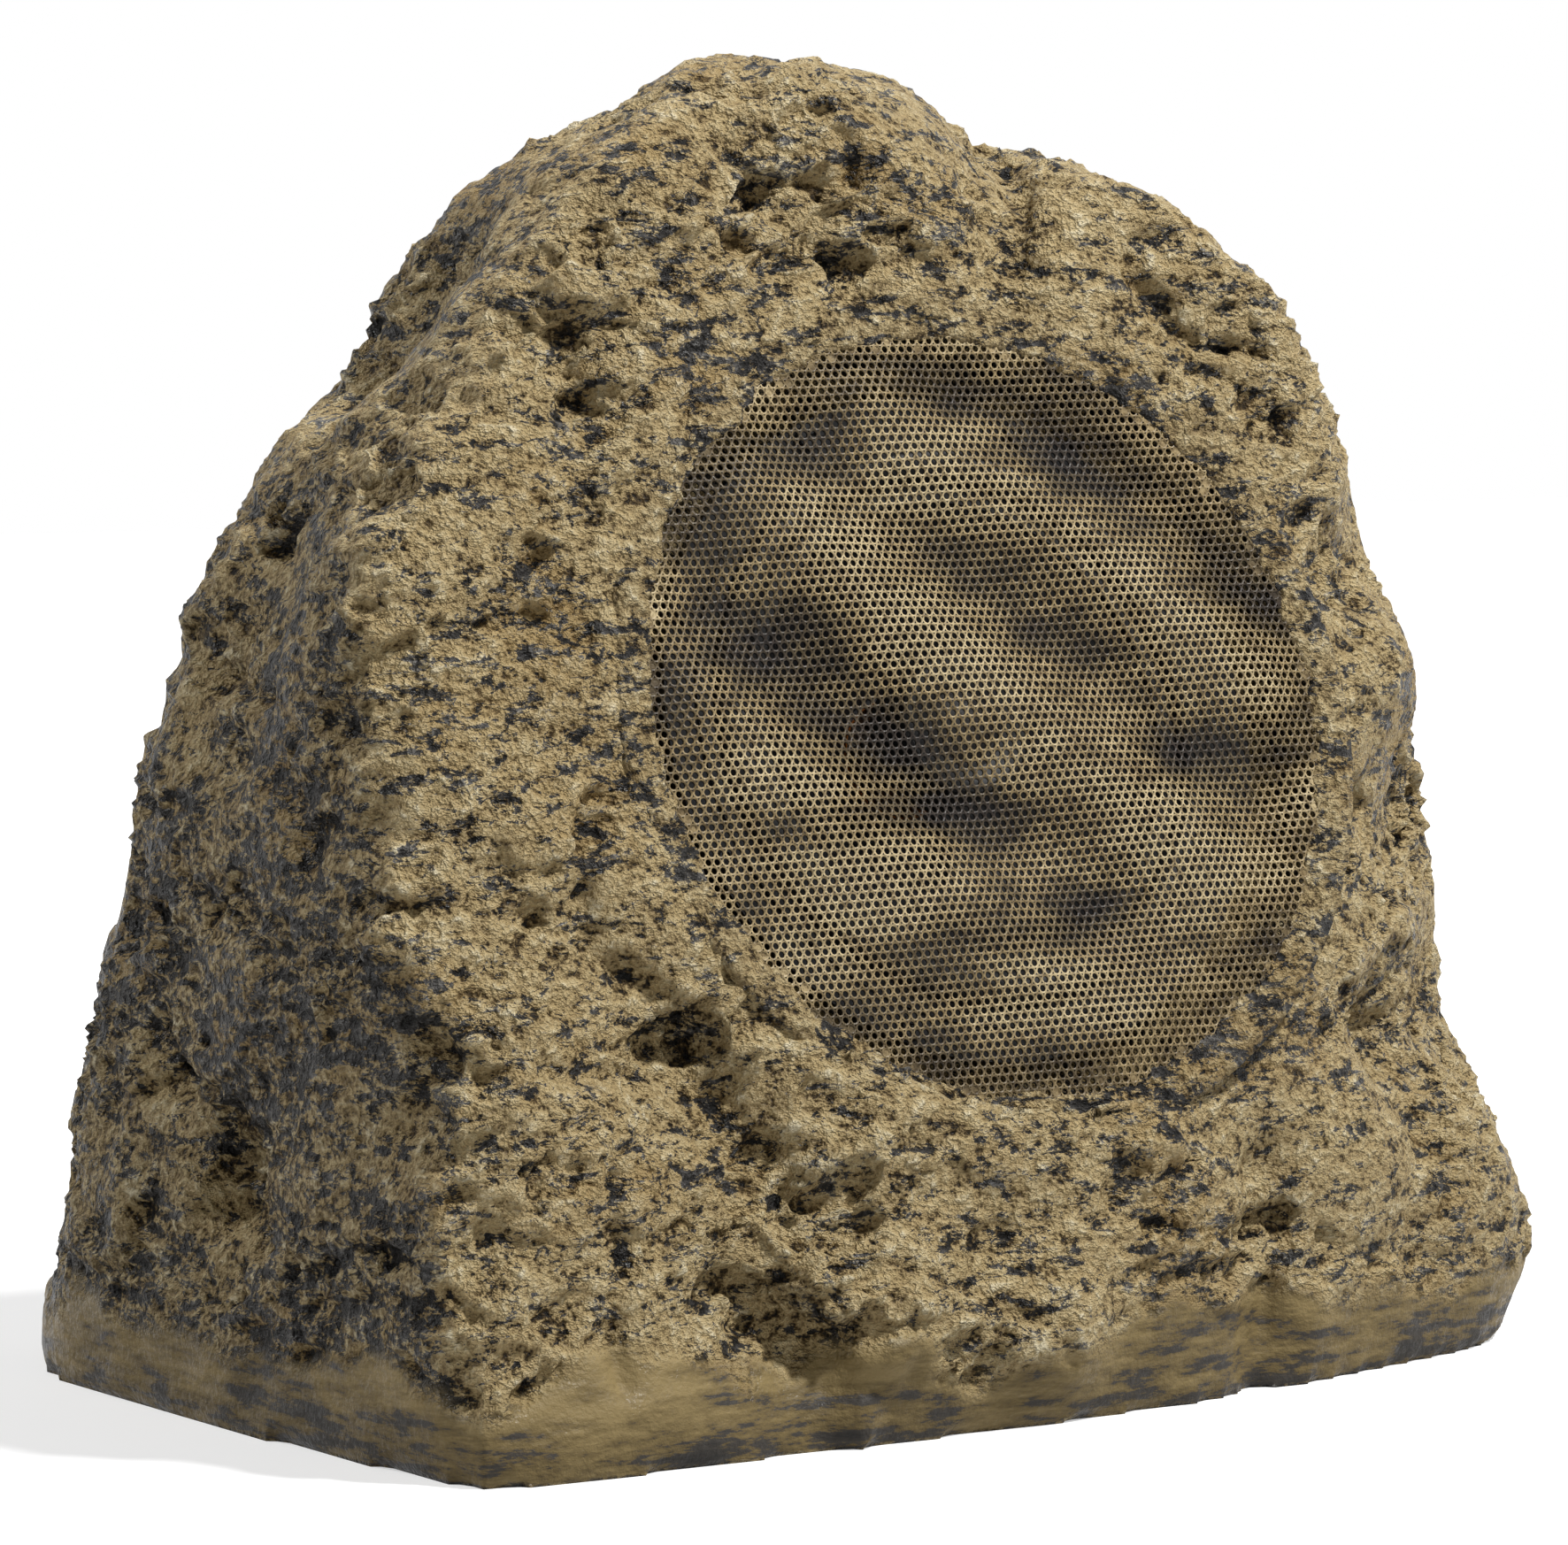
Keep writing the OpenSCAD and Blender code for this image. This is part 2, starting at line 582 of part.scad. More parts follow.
module tweeter_magnet() {
    color("silver") at_face(cup_w + 2) difference() {
        union() {
            cylinder(r = 15, h = 10);
            cylinder(r = 9, h = 13);
        }
        translate([0, 0, -1]) cylinder(r = 1.2, h = 20, $fn = 24);
    }
}
module tweeter_dome() {
    ball = (pow(dome_r, 2) + 16) / 8;
    t = 0.5;
    color("goldenrod") at_face(cup_w + cup_h - 1) union() {
        difference() {
            translate([0, 0, 4 + 1 - ball]) sphere(r = ball, $fn = 72);
            translate([0, 0, 4 + 1 - ball]) sphere(r = ball - t, $fn = 72);
            translate([0, 0, 1 - 2 * ball]) cylinder(r = 2 * ball, h = 2 * ball);
        }
        ring(tweeter_d / 2 - 1.6, dome_r - 1, 1);
    }
}
module tweeter_face() {
    r = tweeter_d / 2;
    color("black") at_face(cup_w + cup_h) rotate_extrude() polygon([
        [dome_r + 0.6, 0], [r, 0], [r, 2], [r - 1, 3], [r - 3, 3], [dome_r + 2, 1.2]]);
}
module terminal_strip() {
    color("peru") at_face(shelf_w - bowl_t - 3) translate([0, -bowl_bottom - 6]) union() {
        translate([-11, -5, 0]) cube([22, 10, 3]);
        for (x = [-6, 6]) translate([x - 2.4, -0.4, -9]) cube([4.8, 0.8, 9 + lap]);
    }
}
module driver_screws() {
    color("black") at_face(flange_top) round_it(driver_screw_n, screw_ring)
        pan_screw(screw_d, flange_t + gasket_t + 6);
}

module on_board(x, y, z = board_top) { translate([board_at.x + x, board_at.y + y, z]) children(); }
module board_corners() {
    at = board_size / 2 - [board_inset, board_inset];
    for (x = [-1, 1]) for (y = [-1, 1])
        translate([board_at.x + x * at.x, board_at.y + y * at.y]) children();
}
module crossover_board() {
    color("darkgreen") difference() {
        translate([board_at.x - board_size.x / 2, board_at.y - board_size.y / 2, board_top - board_t])
            cube([board_size.x, board_size.y, board_t]);
        board_corners() translate([0, 0, board_top - board_t - 1])
            cylinder(d = 3.4, h = board_t + 2, $fn = 24);
    }
}
module board_standoffs() {
    color("gold") board_corners() translate([0, 0, plate_top]) ring(3.5, 1.6, standoff_h);
}
module board_screws() {
    color("silver") board_corners() translate([0, 0, board_top]) pan_screw(3, board_t + 6);
}
module spool(r, h) {
    color("orangered") rotate_extrude() polygon([
        [r * 0.35, 0], [r, 0], [r, 1.5], [r * 0.92, 1.5],
        [r * 0.92, h - 1.5], [r, h - 1.5], [r, h], [r * 0.35, h]]);
}
module woofer_inductor() { on_board(-30, -8) spool(19, 22); }
module tweeter_inductor() { on_board(-28, 22) spool(10, 14); }
module capacitors() {
    color("darkred") for (i = [0:2]) on_board(4, 4 + 12 * i, board_top + 5.5)
        rotate([0, 90, 0]) cylinder(r = 5.5, h = 34);
}
module power_resistor() { color("white") on_board(4, -24) cube([38, 9, 9]); }
// Screw terminal for the two cores of the owner's cable
module terminal_block() {
    size = [11, 9, 10];
    color("seagreen") on_board(0, 0) translate([board_size.x / 2 - size.y - 2, -size.x - 8]) difference() {
        cube([size.y, size.x, size.z]);
        for (y = size.x * [0.25, 0.75]) {
            translate([size.y / 2, y, size.z - 3]) cylinder(d = 3.6, h = 4, $fn = 24);
            translate([size.y - 5, y, 3.5]) rotate([0, 90, 0]) cylinder(d = 2.8, h = 6, $fn = 24);
        }
    }
}

// Insulated lead: a round tube swept along a line of points
module lead(path, r) {
    sides = 8;
    n = len(path);
    function along(i) = let (a = path[max(0, i - 1)], b = path[min(n - 1, i + 1)]) (b - a) / norm(b - a);
    points = [for (i = [0:n - 1])
        let (t = along(i), u = cross(t, [1, 0.15, 0]), v = u / norm(u), w = cross(t, v))
        for (k = [0:sides - 1]) path[i] + r * (cos(45 * k) * v + sin(45 * k) * w)];
    walls = [for (i = [0:n - 2]) for (k = [0:sides - 1])
        let (a = i * sides + k, b = i * sides + (k + 1) % sides)
        each [[a, a + sides, b + sides], [a, b + sides, b]]];
    polyhedron(points, concat([[for (k = [0:sides - 1]) k]], walls,
        [[for (k = [sides - 1:-1:0]) (n - 1) * sides + k]]));
}
// Point on the axis of the loudspeaker's frame
function on_face(x, y, w) = grille_at + [x, 0, 0] + y * face_up + w * face_out;
// Smooth curve through four control points
function curve(a, b, c, d, n) = [for (i = [0:n]) let (t = i / n, s = 1 - t)
    s * s * s * a + 3 * s * s * t * b + 3 * s * t * t * c + t * t * t * d];
lead_r = 1.75;
lead_rise = 45;
lead_stub = 3;
module woofer_lead() {
    end = on_face(0, -bowl_bottom - 6, shelf_w - bowl_t - 3);
    near = end - lead_stub * face_out;
    from = [board_at.x, board_at.y - board_size.y / 2 + 10, board_top];
    up = from + [0, 0, lead_stub];
    color("red") lead(concat([from],
        curve(up, up + [0, 0, lead_rise], near - lead_rise * face_out, near, 18), [end]), lead_r);
}
module tweeter_lead() {
    end = on_face(0, 0, motor_w - 18);
    from = [board_at.x + 46, board_at.y + 14, board_top];
    mouth = end - (motor_w - 18 - magnet_bottom + back_t) * face_out;
    up = from + [0, 0, lead_stub];
    color("blue") lead(concat([from],
        curve(up, up + [0, 0, 1.5 * lead_rise], mouth - 1.5 * lead_rise * face_out, mouth, 18),
        [end]), lead_r);
}
module base_plate() {
    color("dimgray") difference() {
        translate([0, 0, plate_z]) linear_extrude(plate_t) polygon(rim(rim_t + plate_gap));
        for (turn = base_turns) translate(rim_at(turn, rim_t + ledge_w / 2))
            cylinder(d = screw_d + 0.5, h = 20);
    }
}
module base_gasket() {
    color("black") difference() {
        translate([0, 0, plate_top]) linear_extrude(base_gasket_t) difference() {
            polygon(rim(rim_t + plate_gap));
            polygon(rim(rim_t + ledge_w - 1));
        }
        for (turn = base_turns) translate(rim_at(turn, rim_t + ledge_w / 2))
            cylinder(d = screw_d + 0.5, h = 20);
    }
}
module base_screws() {
    color("silver") for (turn = base_turns) translate(rim_at(turn, rim_t + ledge_w / 2) + [0, 0, plate_z])
        rotate([180, 0, 0]) pan_screw(screw_d, plate_t + base_gasket_t + pilot_h - 2);
}

gland_bore = cable_d / 2 + 0.2;
gland_flange_t = 4;
gland_stub = 8;
module gland_body() {
    color("black") at_gland() difference() {
        union() {
            cylinder(d = gland_hex_d, h = gland_flange_t, $fn = 6);
            translate([0, 0, -gland_wall - 9]) cylinder(r = gland_thread_r, h = gland_wall + 9 + lap);
            cylinder(r = gland_thread_r - 0.6, h = gland_flange_t + gland_stub);
        }
        translate([0, 0, -gland_wall - 10]) cylinder(r = gland_bore, h = 60);
    }
}
module gland_seal() {
    color("gray") at_gland(gland_flange_t + gland_stub) ring(gland_thread_r - 0.8, gland_bore, 3);
}
module gland_cap() {
    h = gland_stub + 3 + 3;
    r = gland_thread_r - 0.5;
    color("black") at_gland(gland_flange_t + 0.3) difference() {
        union() {
            cylinder(d = gland_hex_d - 1, h = h - 4, $fn = 6);
            cylinder(r1 = r + 2.5, r2 = r + 1, h = h);
        }
        translate([0, 0, -1]) cylinder(r = r, h = gland_stub + 3 - 0.3 + 1);
        cylinder(r = gland_bore, h = h + 1);
    }
}
module gland_locknut() {
    color("black") at_gland(-gland_wall - 4.5) difference() {
        cylinder(d = gland_hex_d, h = 4.5, $fn = 6);
        translate([0, 0, -1]) cylinder(r = gland_thread_r + 0.05, h = 7);
    }
}

rock_shell();
grille();
port_grille();
port_tube();
driver_gasket();
woofer_basket();
woofer_surround();
woofer_cone();
coil_former();
voice_coil();
spider();
top_plate();
magnet();
back_plate();
tweeter_post();
tweeter_cup();
tweeter_magnet();
tweeter_dome();
tweeter_face();
terminal_strip();
driver_screws();
crossover_board();
board_standoffs();
board_screws();
woofer_inductor();
tweeter_inductor();
capacitors();
power_resistor();
terminal_block();
woofer_lead();
tweeter_lead();
base_plate();
base_gasket();
base_screws();
gland_body();
gland_seal();
gland_cap();
gland_locknut();
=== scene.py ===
"""Rock shaped garden speaker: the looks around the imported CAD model."""
import json
import math
import random

import bmesh
import bpy
from mathutils import Matrix, Vector, noise
from mathutils.bvhtree import BVHTree


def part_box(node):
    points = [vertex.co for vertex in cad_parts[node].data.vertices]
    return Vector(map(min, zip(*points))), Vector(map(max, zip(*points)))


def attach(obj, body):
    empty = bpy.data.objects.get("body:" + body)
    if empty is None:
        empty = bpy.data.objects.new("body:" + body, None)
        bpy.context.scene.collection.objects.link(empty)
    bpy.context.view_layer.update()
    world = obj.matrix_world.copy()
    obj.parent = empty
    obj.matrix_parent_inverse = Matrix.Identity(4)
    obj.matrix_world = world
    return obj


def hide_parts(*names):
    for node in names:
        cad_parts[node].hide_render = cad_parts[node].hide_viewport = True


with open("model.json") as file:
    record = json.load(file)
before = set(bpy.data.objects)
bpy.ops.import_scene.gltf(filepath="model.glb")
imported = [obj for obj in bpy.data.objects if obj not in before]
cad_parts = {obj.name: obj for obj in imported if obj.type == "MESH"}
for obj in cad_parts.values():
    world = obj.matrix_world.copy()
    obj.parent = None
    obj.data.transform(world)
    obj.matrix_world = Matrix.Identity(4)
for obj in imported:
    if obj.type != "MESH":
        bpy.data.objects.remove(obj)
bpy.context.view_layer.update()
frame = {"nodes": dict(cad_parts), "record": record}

MM = 0.001
# noise_vector takes its offsets from a random state, which would otherwise follow the clock
noise.seed_set(7)


def middle(node):
    low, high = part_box(node)
    return (low + high) / 2


def facing(turn, lean):
    """Direction with that heading from the front and that lean back, in degrees."""
    turn, lean = math.radians(turn), math.radians(lean)
    return Vector((math.sin(turn) * math.cos(lean), -math.cos(turn) * math.cos(lean),
                   math.sin(lean)))


# The grille's own frame: right, up the face and outward. Its middle is level with the middle of
# the gasket of the loudspeaker, which lies this far behind the sheet.
SHEET_TO_GASKET = 21.25
OUT = facing(0, 18.5)
RIGHT = Vector((1, 0, 0))
UP_FACE = OUT.cross(RIGHT)
GRILLE_AT = middle("driver_gasket") + OUT * SHEET_TO_GASKET * MM
GRILLE_R = 122.5 * MM
SWELL_H = 4.0

# The bass port's frame, on the outside of its cover
COVER_T = 1.2
PORT_OUT = facing(-124, 14)
PORT_RIGHT = Vector((0, 0, 1)).cross(PORT_OUT).normalized()
PORT_AT = middle("port_grille") + PORT_OUT * (COVER_T / 2) * MM
PORT_R = 29.0
PORT_HOLE_R = 23.0

GLAND_AT = middle("gland_body")

# Middle of the rock, which the rays of its surface start from
HEART = Vector((-10.0, 10.0, 150.0)) * MM


def ease(t):
    t = max(0.0, min(1.0, t))
    return t * t * (3 - 2 * t)


def off_line(p, a, b):
    """Distance from a point to the line between two others."""
    ab = b - a
    t = max(0.0, min(1.0, (p - a).dot(ab) / ab.length_squared))
    return (p - a - ab * t).length


def off_axis(p, at, out):
    """How far a point lies out along an axis and away from it, in millimetres."""
    rel = p - at
    along = rel.dot(out)
    return along / MM, (rel - out * along).length / MM


# Camera at the photograph's angle: its place in millimetres, and how far it looks to the right
# and down, in degrees
CAMERA_AT = Vector((-1217.43, -1892.42, 346.0))
CAMERA_TURN, CAMERA_PITCH = 32.2, 4.15


def add_camera():
    data = bpy.data.cameras.new("camera")
    data.sensor_width = 36
    data.lens = 166
    data.clip_end = 20
    turn, pitch = math.radians(CAMERA_TURN), math.radians(CAMERA_PITCH)
    ahead = Vector((math.sin(turn) * math.cos(pitch), math.cos(turn) * math.cos(pitch),
                    -math.sin(pitch)))
    right = Vector((math.cos(turn), -math.sin(turn), 0))
    axes = Matrix((right, right.cross(ahead), -ahead)).transposed().to_4x4()
    camera = bpy.data.objects.new("camera", data)
    camera.matrix_world = Matrix.Translation(CAMERA_AT * MM) @ axes
    bpy.context.scene.collection.objects.link(camera)
    bpy.context.scene.camera = camera
    return camera


camera = add_camera()


# Materials

def linear(hex_colour):
    """Linear RGBA of an sRGB hex colour."""
    parts = [int(hex_colour[i:i + 2], 16) / 255 for i in (1, 3, 5)]
    return [c / 12.92 if c <= 0.04045 else ((c + 0.055) / 1.055) ** 2.4 for c in parts] + [1.0]


def add(tree, kind, inputs=(), stops=(), **settings):
    """Adds a node, sets its properties and colour stops, and sets or links its inputs. An input
    that is given a node takes that node's first output in use."""
    node = tree.nodes.new(kind)
    for key, value in settings.items():
        setattr(node, key, value)
    for index, (position, colour) in enumerate(stops):
        elements = node.color_ramp.elements
        element = elements[index] if index < 2 else elements.new(position)
        element.position = position
        element.color = linear(colour)
    for key, value in dict(inputs).items():
        if isinstance(value, bpy.types.Node):
            value = next(output for output in value.outputs if output.enabled)
        if isinstance(value, bpy.types.NodeSocket):
            tree.links.new(value, node.inputs[key])
        else:
            node.inputs[key].default_value = value
    return node


def new_material(name):
    material = bpy.data.materials.new(name)
    material.use_nodes = True
    tree = material.node_tree
    coords = add(tree, "ShaderNodeTexCoord").outputs["Object"]
    return material, tree, tree.nodes["Principled BSDF"], coords


def per_metre(millimetres):
    """Texture scale for a pattern of that size."""
    return 1000.0 / millimetres


# Turn of the tilted layers that the stone's grain and flecks lie in
LAYER_TURN = (0.1, -0.28, 0.0)
# Gloss of paint over a porous or perforated ground, less than a closed coat has
PAINT_SPECULAR = 0.15


def painted_cast_stone():
    """Cast stone of resin and glass fibre, sprayed slate and dry-brushed in tan: matt tan on what
    stands proud, half-matt slate in the ragged flecks that the brush passed over, dark in the pits
    and hollows, which is partly a dark wash and partly painted shade for the shadows that the bump
    relief does not cast, and painted shade over the side turned from the light. The mesh says how
    far a point stands proud of what is round it (proud, in millimetres), how far it turns from the
    brush and the key light, which come from about the same way (bare_and_shaded), and where the
    smooth rim is (band)."""
    material, tree, shader, coords = new_material("painted_cast_stone")
    proud = add(tree, "ShaderNodeAttribute", attribute_name="proud").outputs["Fac"]
    bare_and_shaded = add(tree, "ShaderNodeAttribute", attribute_name="bare_and_shaded").outputs["Fac"]
    band = add(tree, "ShaderNodeAttribute", attribute_name="band").outputs["Fac"]

    # relief too fine for the mesh: crags of 11 mm in tilted layers, and grains of 2.4 mm, which
    # are 1 to 2 mm on the real thing and are drawn a little coarser to show
    patches = add(tree, "ShaderNodeTexNoise", {"Vector": coords, "Scale": per_metre(55), "Detail": 3.0})
    layers = add(tree, "ShaderNodeMapping", {"Vector": coords, "Rotation": LAYER_TURN,
                                             "Scale": (1.0, 1.0, 1.7)})
    crags = add(tree, "ShaderNodeTexNoise", {"Vector": layers, "Scale": per_metre(11), "Detail": 5.0,
                                            "Roughness": 0.7})
    grains = add(tree, "ShaderNodeTexNoise", {"Vector": coords, "Scale": per_metre(2.4), "Detail": 2.0,
                                             "Roughness": 0.6})
    height = add(tree, "ShaderNodeMath", {0: crags, 1: 8.0, 2: -4.0 - 2.5}, operation="MULTIPLY_ADD")
    height = add(tree, "ShaderNodeMath", {0: grains, 1: 5.0, 2: height}, operation="MULTIPLY_ADD")

    # tones of the brushed paint over that height and two fifths of the mesh's own; the dark low end
    # is partly a wash and partly painted shade in the pits and hollows
    level = add(tree, "ShaderNodeMath", {0: proud, 1: 0.4, 2: height}, operation="MULTIPLY_ADD")
    level = add(tree, "ShaderNodeMapRange", {0: level, 1: -2.4, 2: 2.4})
    tan = add(tree, "ShaderNodeValToRGB", {0: level}, [
        (0.12, "#17120c"), (0.25, "#4f3f25"), (0.35, "#94805a"), (0.50, "#ab966c"), (0.74, "#bcaa82"),
        (0.95, "#d6caaa")])
    ochre = add(tree, "ShaderNodeMapRange", {0: patches, 1: 0.52, 2: 0.68, 3: 0.0, 4: 0.45})
    tan = add(tree, "ShaderNodeMix", {0: ochre, 6: tan, 7: linear("#8c7040")}, data_type="RGBA")

    # flecks of slate in the same layers, more of them where the brush missed: ragged islands of
    # 5 to 15 mm and thin broken lines
    thin = add(tree, "ShaderNodeMapping", {"Vector": coords, "Rotation": LAYER_TURN,
                                           "Scale": (1.0, 1.0, 2.4)})
    flecks = add(tree, "ShaderNodeTexNoise", {"Vector": thin, "Scale": per_metre(12), "Detail": 6.0,
                                             "Roughness": 0.78, "Distortion": 0.4})
    missed = add(tree, "ShaderNodeMath", {0: bare_and_shaded, 1: 0.075, 2: flecks}, operation="MULTIPLY_ADD")
    missed = add(tree, "ShaderNodeMath", {0: level, 1: -0.13, 2: missed}, operation="MULTIPLY_ADD")
    missed = add(tree, "ShaderNodeMath", {0: patches, 1: 0.20, 2: missed}, operation="MULTIPLY_ADD")
    islands = add(tree, "ShaderNodeMapRange", {0: missed, 1: 0.590, 2: 0.602})
    lines = add(tree, "ShaderNodeTexNoise", {"Vector": thin, "Scale": per_metre(26), "Detail": 4.0,
                                            "Roughness": 0.6, "Distortion": 0.3})
    lines = add(tree, "ShaderNodeMath", {0: lines, 1: 0.5, 2: 0.011}, operation="COMPARE")
    broken = add(tree, "ShaderNodeMath", {0: missed, 1: 0.525}, operation="GREATER_THAN")
    lines = add(tree, "ShaderNodeMath", {0: lines, 1: broken}, operation="MULTIPLY")
    slate_mask = add(tree, "ShaderNodeMath", {0: islands, 1: lines}, operation="MAXIMUM")
    # the slate too goes near black in the pits and hollows, partly as painted shade
    slate = add(tree, "ShaderNodeValToRGB", {0: level}, [
        (0.2, "#131211"), (0.45, "#343230"), (0.62, "#4f4d4b"), (0.85, "#75726d")])
    colour = add(tree, "ShaderNodeMix", {0: slate_mask, 6: tan, 7: slate}, data_type="RGBA")
    # painted shade: the grain's low spots darkened on the side turned from the brush and the key light
    painted_shade = add(tree, "ShaderNodeMapRange", {0: grains, 1: 0.42, 2: 0.60, 3: 1.0, 4: 0.2})
    painted_shade = add(tree, "ShaderNodeMath", {0: painted_shade, 1: bare_and_shaded}, operation="MULTIPLY")
    colour = add(tree, "ShaderNodeMix", {0: painted_shade, 6: colour, 7: linear("#6d655c")},
                 data_type="RGBA", blend_type="MULTIPLY")

    # the rim is smooth and darker, brushed along, with dark strokes left low down in places
    along = add(tree, "ShaderNodeMapping", {"Vector": coords, "Scale": (1.0, 1.0, 5.0)})
    strokes = add(tree, "ShaderNodeTexNoise", {"Vector": along, "Scale": per_metre(30), "Detail": 8.0,
                                              "Roughness": 0.72})
    low = add(tree, "ShaderNodeSeparateXYZ", {0: coords}).outputs["Z"]
    low = add(tree, "ShaderNodeMapRange", {0: low, 1: 0.0, 2: 24 * MM, 3: 0.09, 4: -0.05})
    where = add(tree, "ShaderNodeMath", {0: patches, 1: 0.45, 2: low}, operation="MULTIPLY_ADD")
    strokes = add(tree, "ShaderNodeMath", {0: strokes, 1: where}, operation="ADD")
    rim_paint = add(tree, "ShaderNodeValToRGB", {0: strokes}, [
        (0.62, "#85744f"), (0.74, "#6c5d3d"), (0.80, "#5c4f36"), (0.815, "#403c37"), (0.95, "#2e2c2a")])
    colour = add(tree, "ShaderNodeMix", {0: band, 6: colour, 7: rim_paint}, data_type="RGBA")
    tree.links.new(colour.outputs[2], shader.inputs["Base Color"])

    gloss = add(tree, "ShaderNodeMapRange", {0: slate_mask, 3: 0.55, 4: 0.34})
    tree.links.new(gloss.outputs[0], shader.inputs["Roughness"])
    shader.inputs["Specular IOR Level"].default_value = PAINT_SPECULAR

    # the rim keeps a tenth of the relief
    calm = add(tree, "ShaderNodeMapRange", {0: band, 3: 1.0, 4: 0.1})
    height = add(tree, "ShaderNodeMath", {0: height, 1: calm}, operation="MULTIPLY")
    bump = add(tree, "ShaderNodeBump", {"Height": height, "Distance": MM, "Strength": 1.0})
    tree.links.new(bump.outputs["Normal"], shader.inputs["Normal"])
    return material


def bare_laminate():
    """Glass fibre laminate as it left the mould, never painted: dark grey, half matt, with the lie
    of the mat."""
    material, tree, shader, coords = new_material("bare_laminate")
    mat = add(tree, "ShaderNodeTexNoise", {"Vector": coords, "Scale": per_metre(6), "Detail": 5.0,
                                          "Distortion": 1.5})
    colour = add(tree, "ShaderNodeValToRGB", {0: mat}, [(0.35, "#141312"), (0.65, "#211f1d")])
    tree.links.new(colour.outputs["Color"], shader.inputs["Base Color"])
    shader.inputs["Roughness"].default_value = 0.6
    bump = add(tree, "ShaderNodeBump", {"Height": mat, "Distance": 0.3 * MM, "Strength": 1.0})
    tree.links.new(bump.outputs["Normal"], shader.inputs["Normal"])
    return material


def painted_perforated_steel():
    """Perforated steel sheet, sprayed tan with dark smudges and darker in its troughs, with painted
    shade going to black down the walls of its holes: satin, so that the edges of the holes glint.
    The mesh gives the height of the swells (trough) and the depth in the holes (inside)."""
    material, tree, shader, coords = new_material("painted_perforated_steel")
    trough = add(tree, "ShaderNodeAttribute", attribute_name="trough").outputs["Fac"]
    inside = add(tree, "ShaderNodeAttribute", attribute_name="inside").outputs["Fac"]
    slant = add(tree, "ShaderNodeMapping", {"Vector": coords, "Rotation": (0.0, -0.75, 0.0),
                                            "Scale": (0.6, 1.0, 1.3)})
    cloud = add(tree, "ShaderNodeTexNoise", {"Vector": slant, "Scale": per_metre(34), "Detail": 5.0,
                                            "Roughness": 0.6})
    # darker in the troughs of the swells, besides the smudges of the cloud
    smudges_and_troughs = add(tree, "ShaderNodeMath", {0: trough, 1: 0.13, 2: cloud}, operation="MULTIPLY_ADD")
    paint = add(tree, "ShaderNodeValToRGB", {0: smudges_and_troughs}, [
        (0.34, "#b9a781"), (0.46, "#978460"), (0.56, "#63563f"), (0.68, "#37302a")])
    specks = add(tree, "ShaderNodeTexNoise", {"Vector": coords, "Scale": per_metre(2.2), "Detail": 3.0,
                                             "Roughness": 0.7})
    dusk = add(tree, "ShaderNodeValToRGB", {0: specks}, [(0.38, "#8a8072"), (0.55, "#ffffff")])
    paint = add(tree, "ShaderNodeMix", {0: 0.8, 6: paint, 7: dusk},
                data_type="RGBA", blend_type="MULTIPLY")
    # painted shade down the walls of the holes, near black at their bottom
    depth = add(tree, "ShaderNodeMapRange", {0: inside, 1: 0.1, 2: 0.6})
    paint = add(tree, "ShaderNodeMix", {0: depth, 6: paint.outputs[2], 7: linear("#0b0a08")},
                data_type="RGBA")
    tree.links.new(paint.outputs[2], shader.inputs["Base Color"])
    shader.inputs["Roughness"].default_value = 0.38
    shader.inputs["Specular IOR Level"].default_value = PAINT_SPECULAR
    bump = add(tree, "ShaderNodeBump", {"Height": specks, "Distance": 0.25 * MM, "Strength": 1.0})
    tree.links.new(bump.outputs["Normal"], shader.inputs["Normal"])
    return material


def inner_finish(name, low, high, grain_mm, roughness, height_mm, metallic):
    """A finish of two tones in a grain of a real size, with the same grain as relief."""
    material, tree, shader, coords = new_material(name)
    grain = add(tree, "ShaderNodeTexNoise", {"Vector": coords, "Scale": per_metre(grain_mm), "Detail": 4.0})
    colour = add(tree, "ShaderNodeValToRGB", {0: grain}, [(0.35, low), (0.65, high)])
    tree.links.new(colour.outputs["Color"], shader.inputs["Base Color"])
    shader.inputs["Roughness"].default_value = roughness
    shader.inputs["Metallic"].default_value = metallic
    bump = add(tree, "ShaderNodeBump", {"Height": grain, "Distance": height_mm * MM,
                                        "Strength": 1.0})
    tree.links.new(bump.outputs["Normal"], shader.inputs["Normal"])
    return material


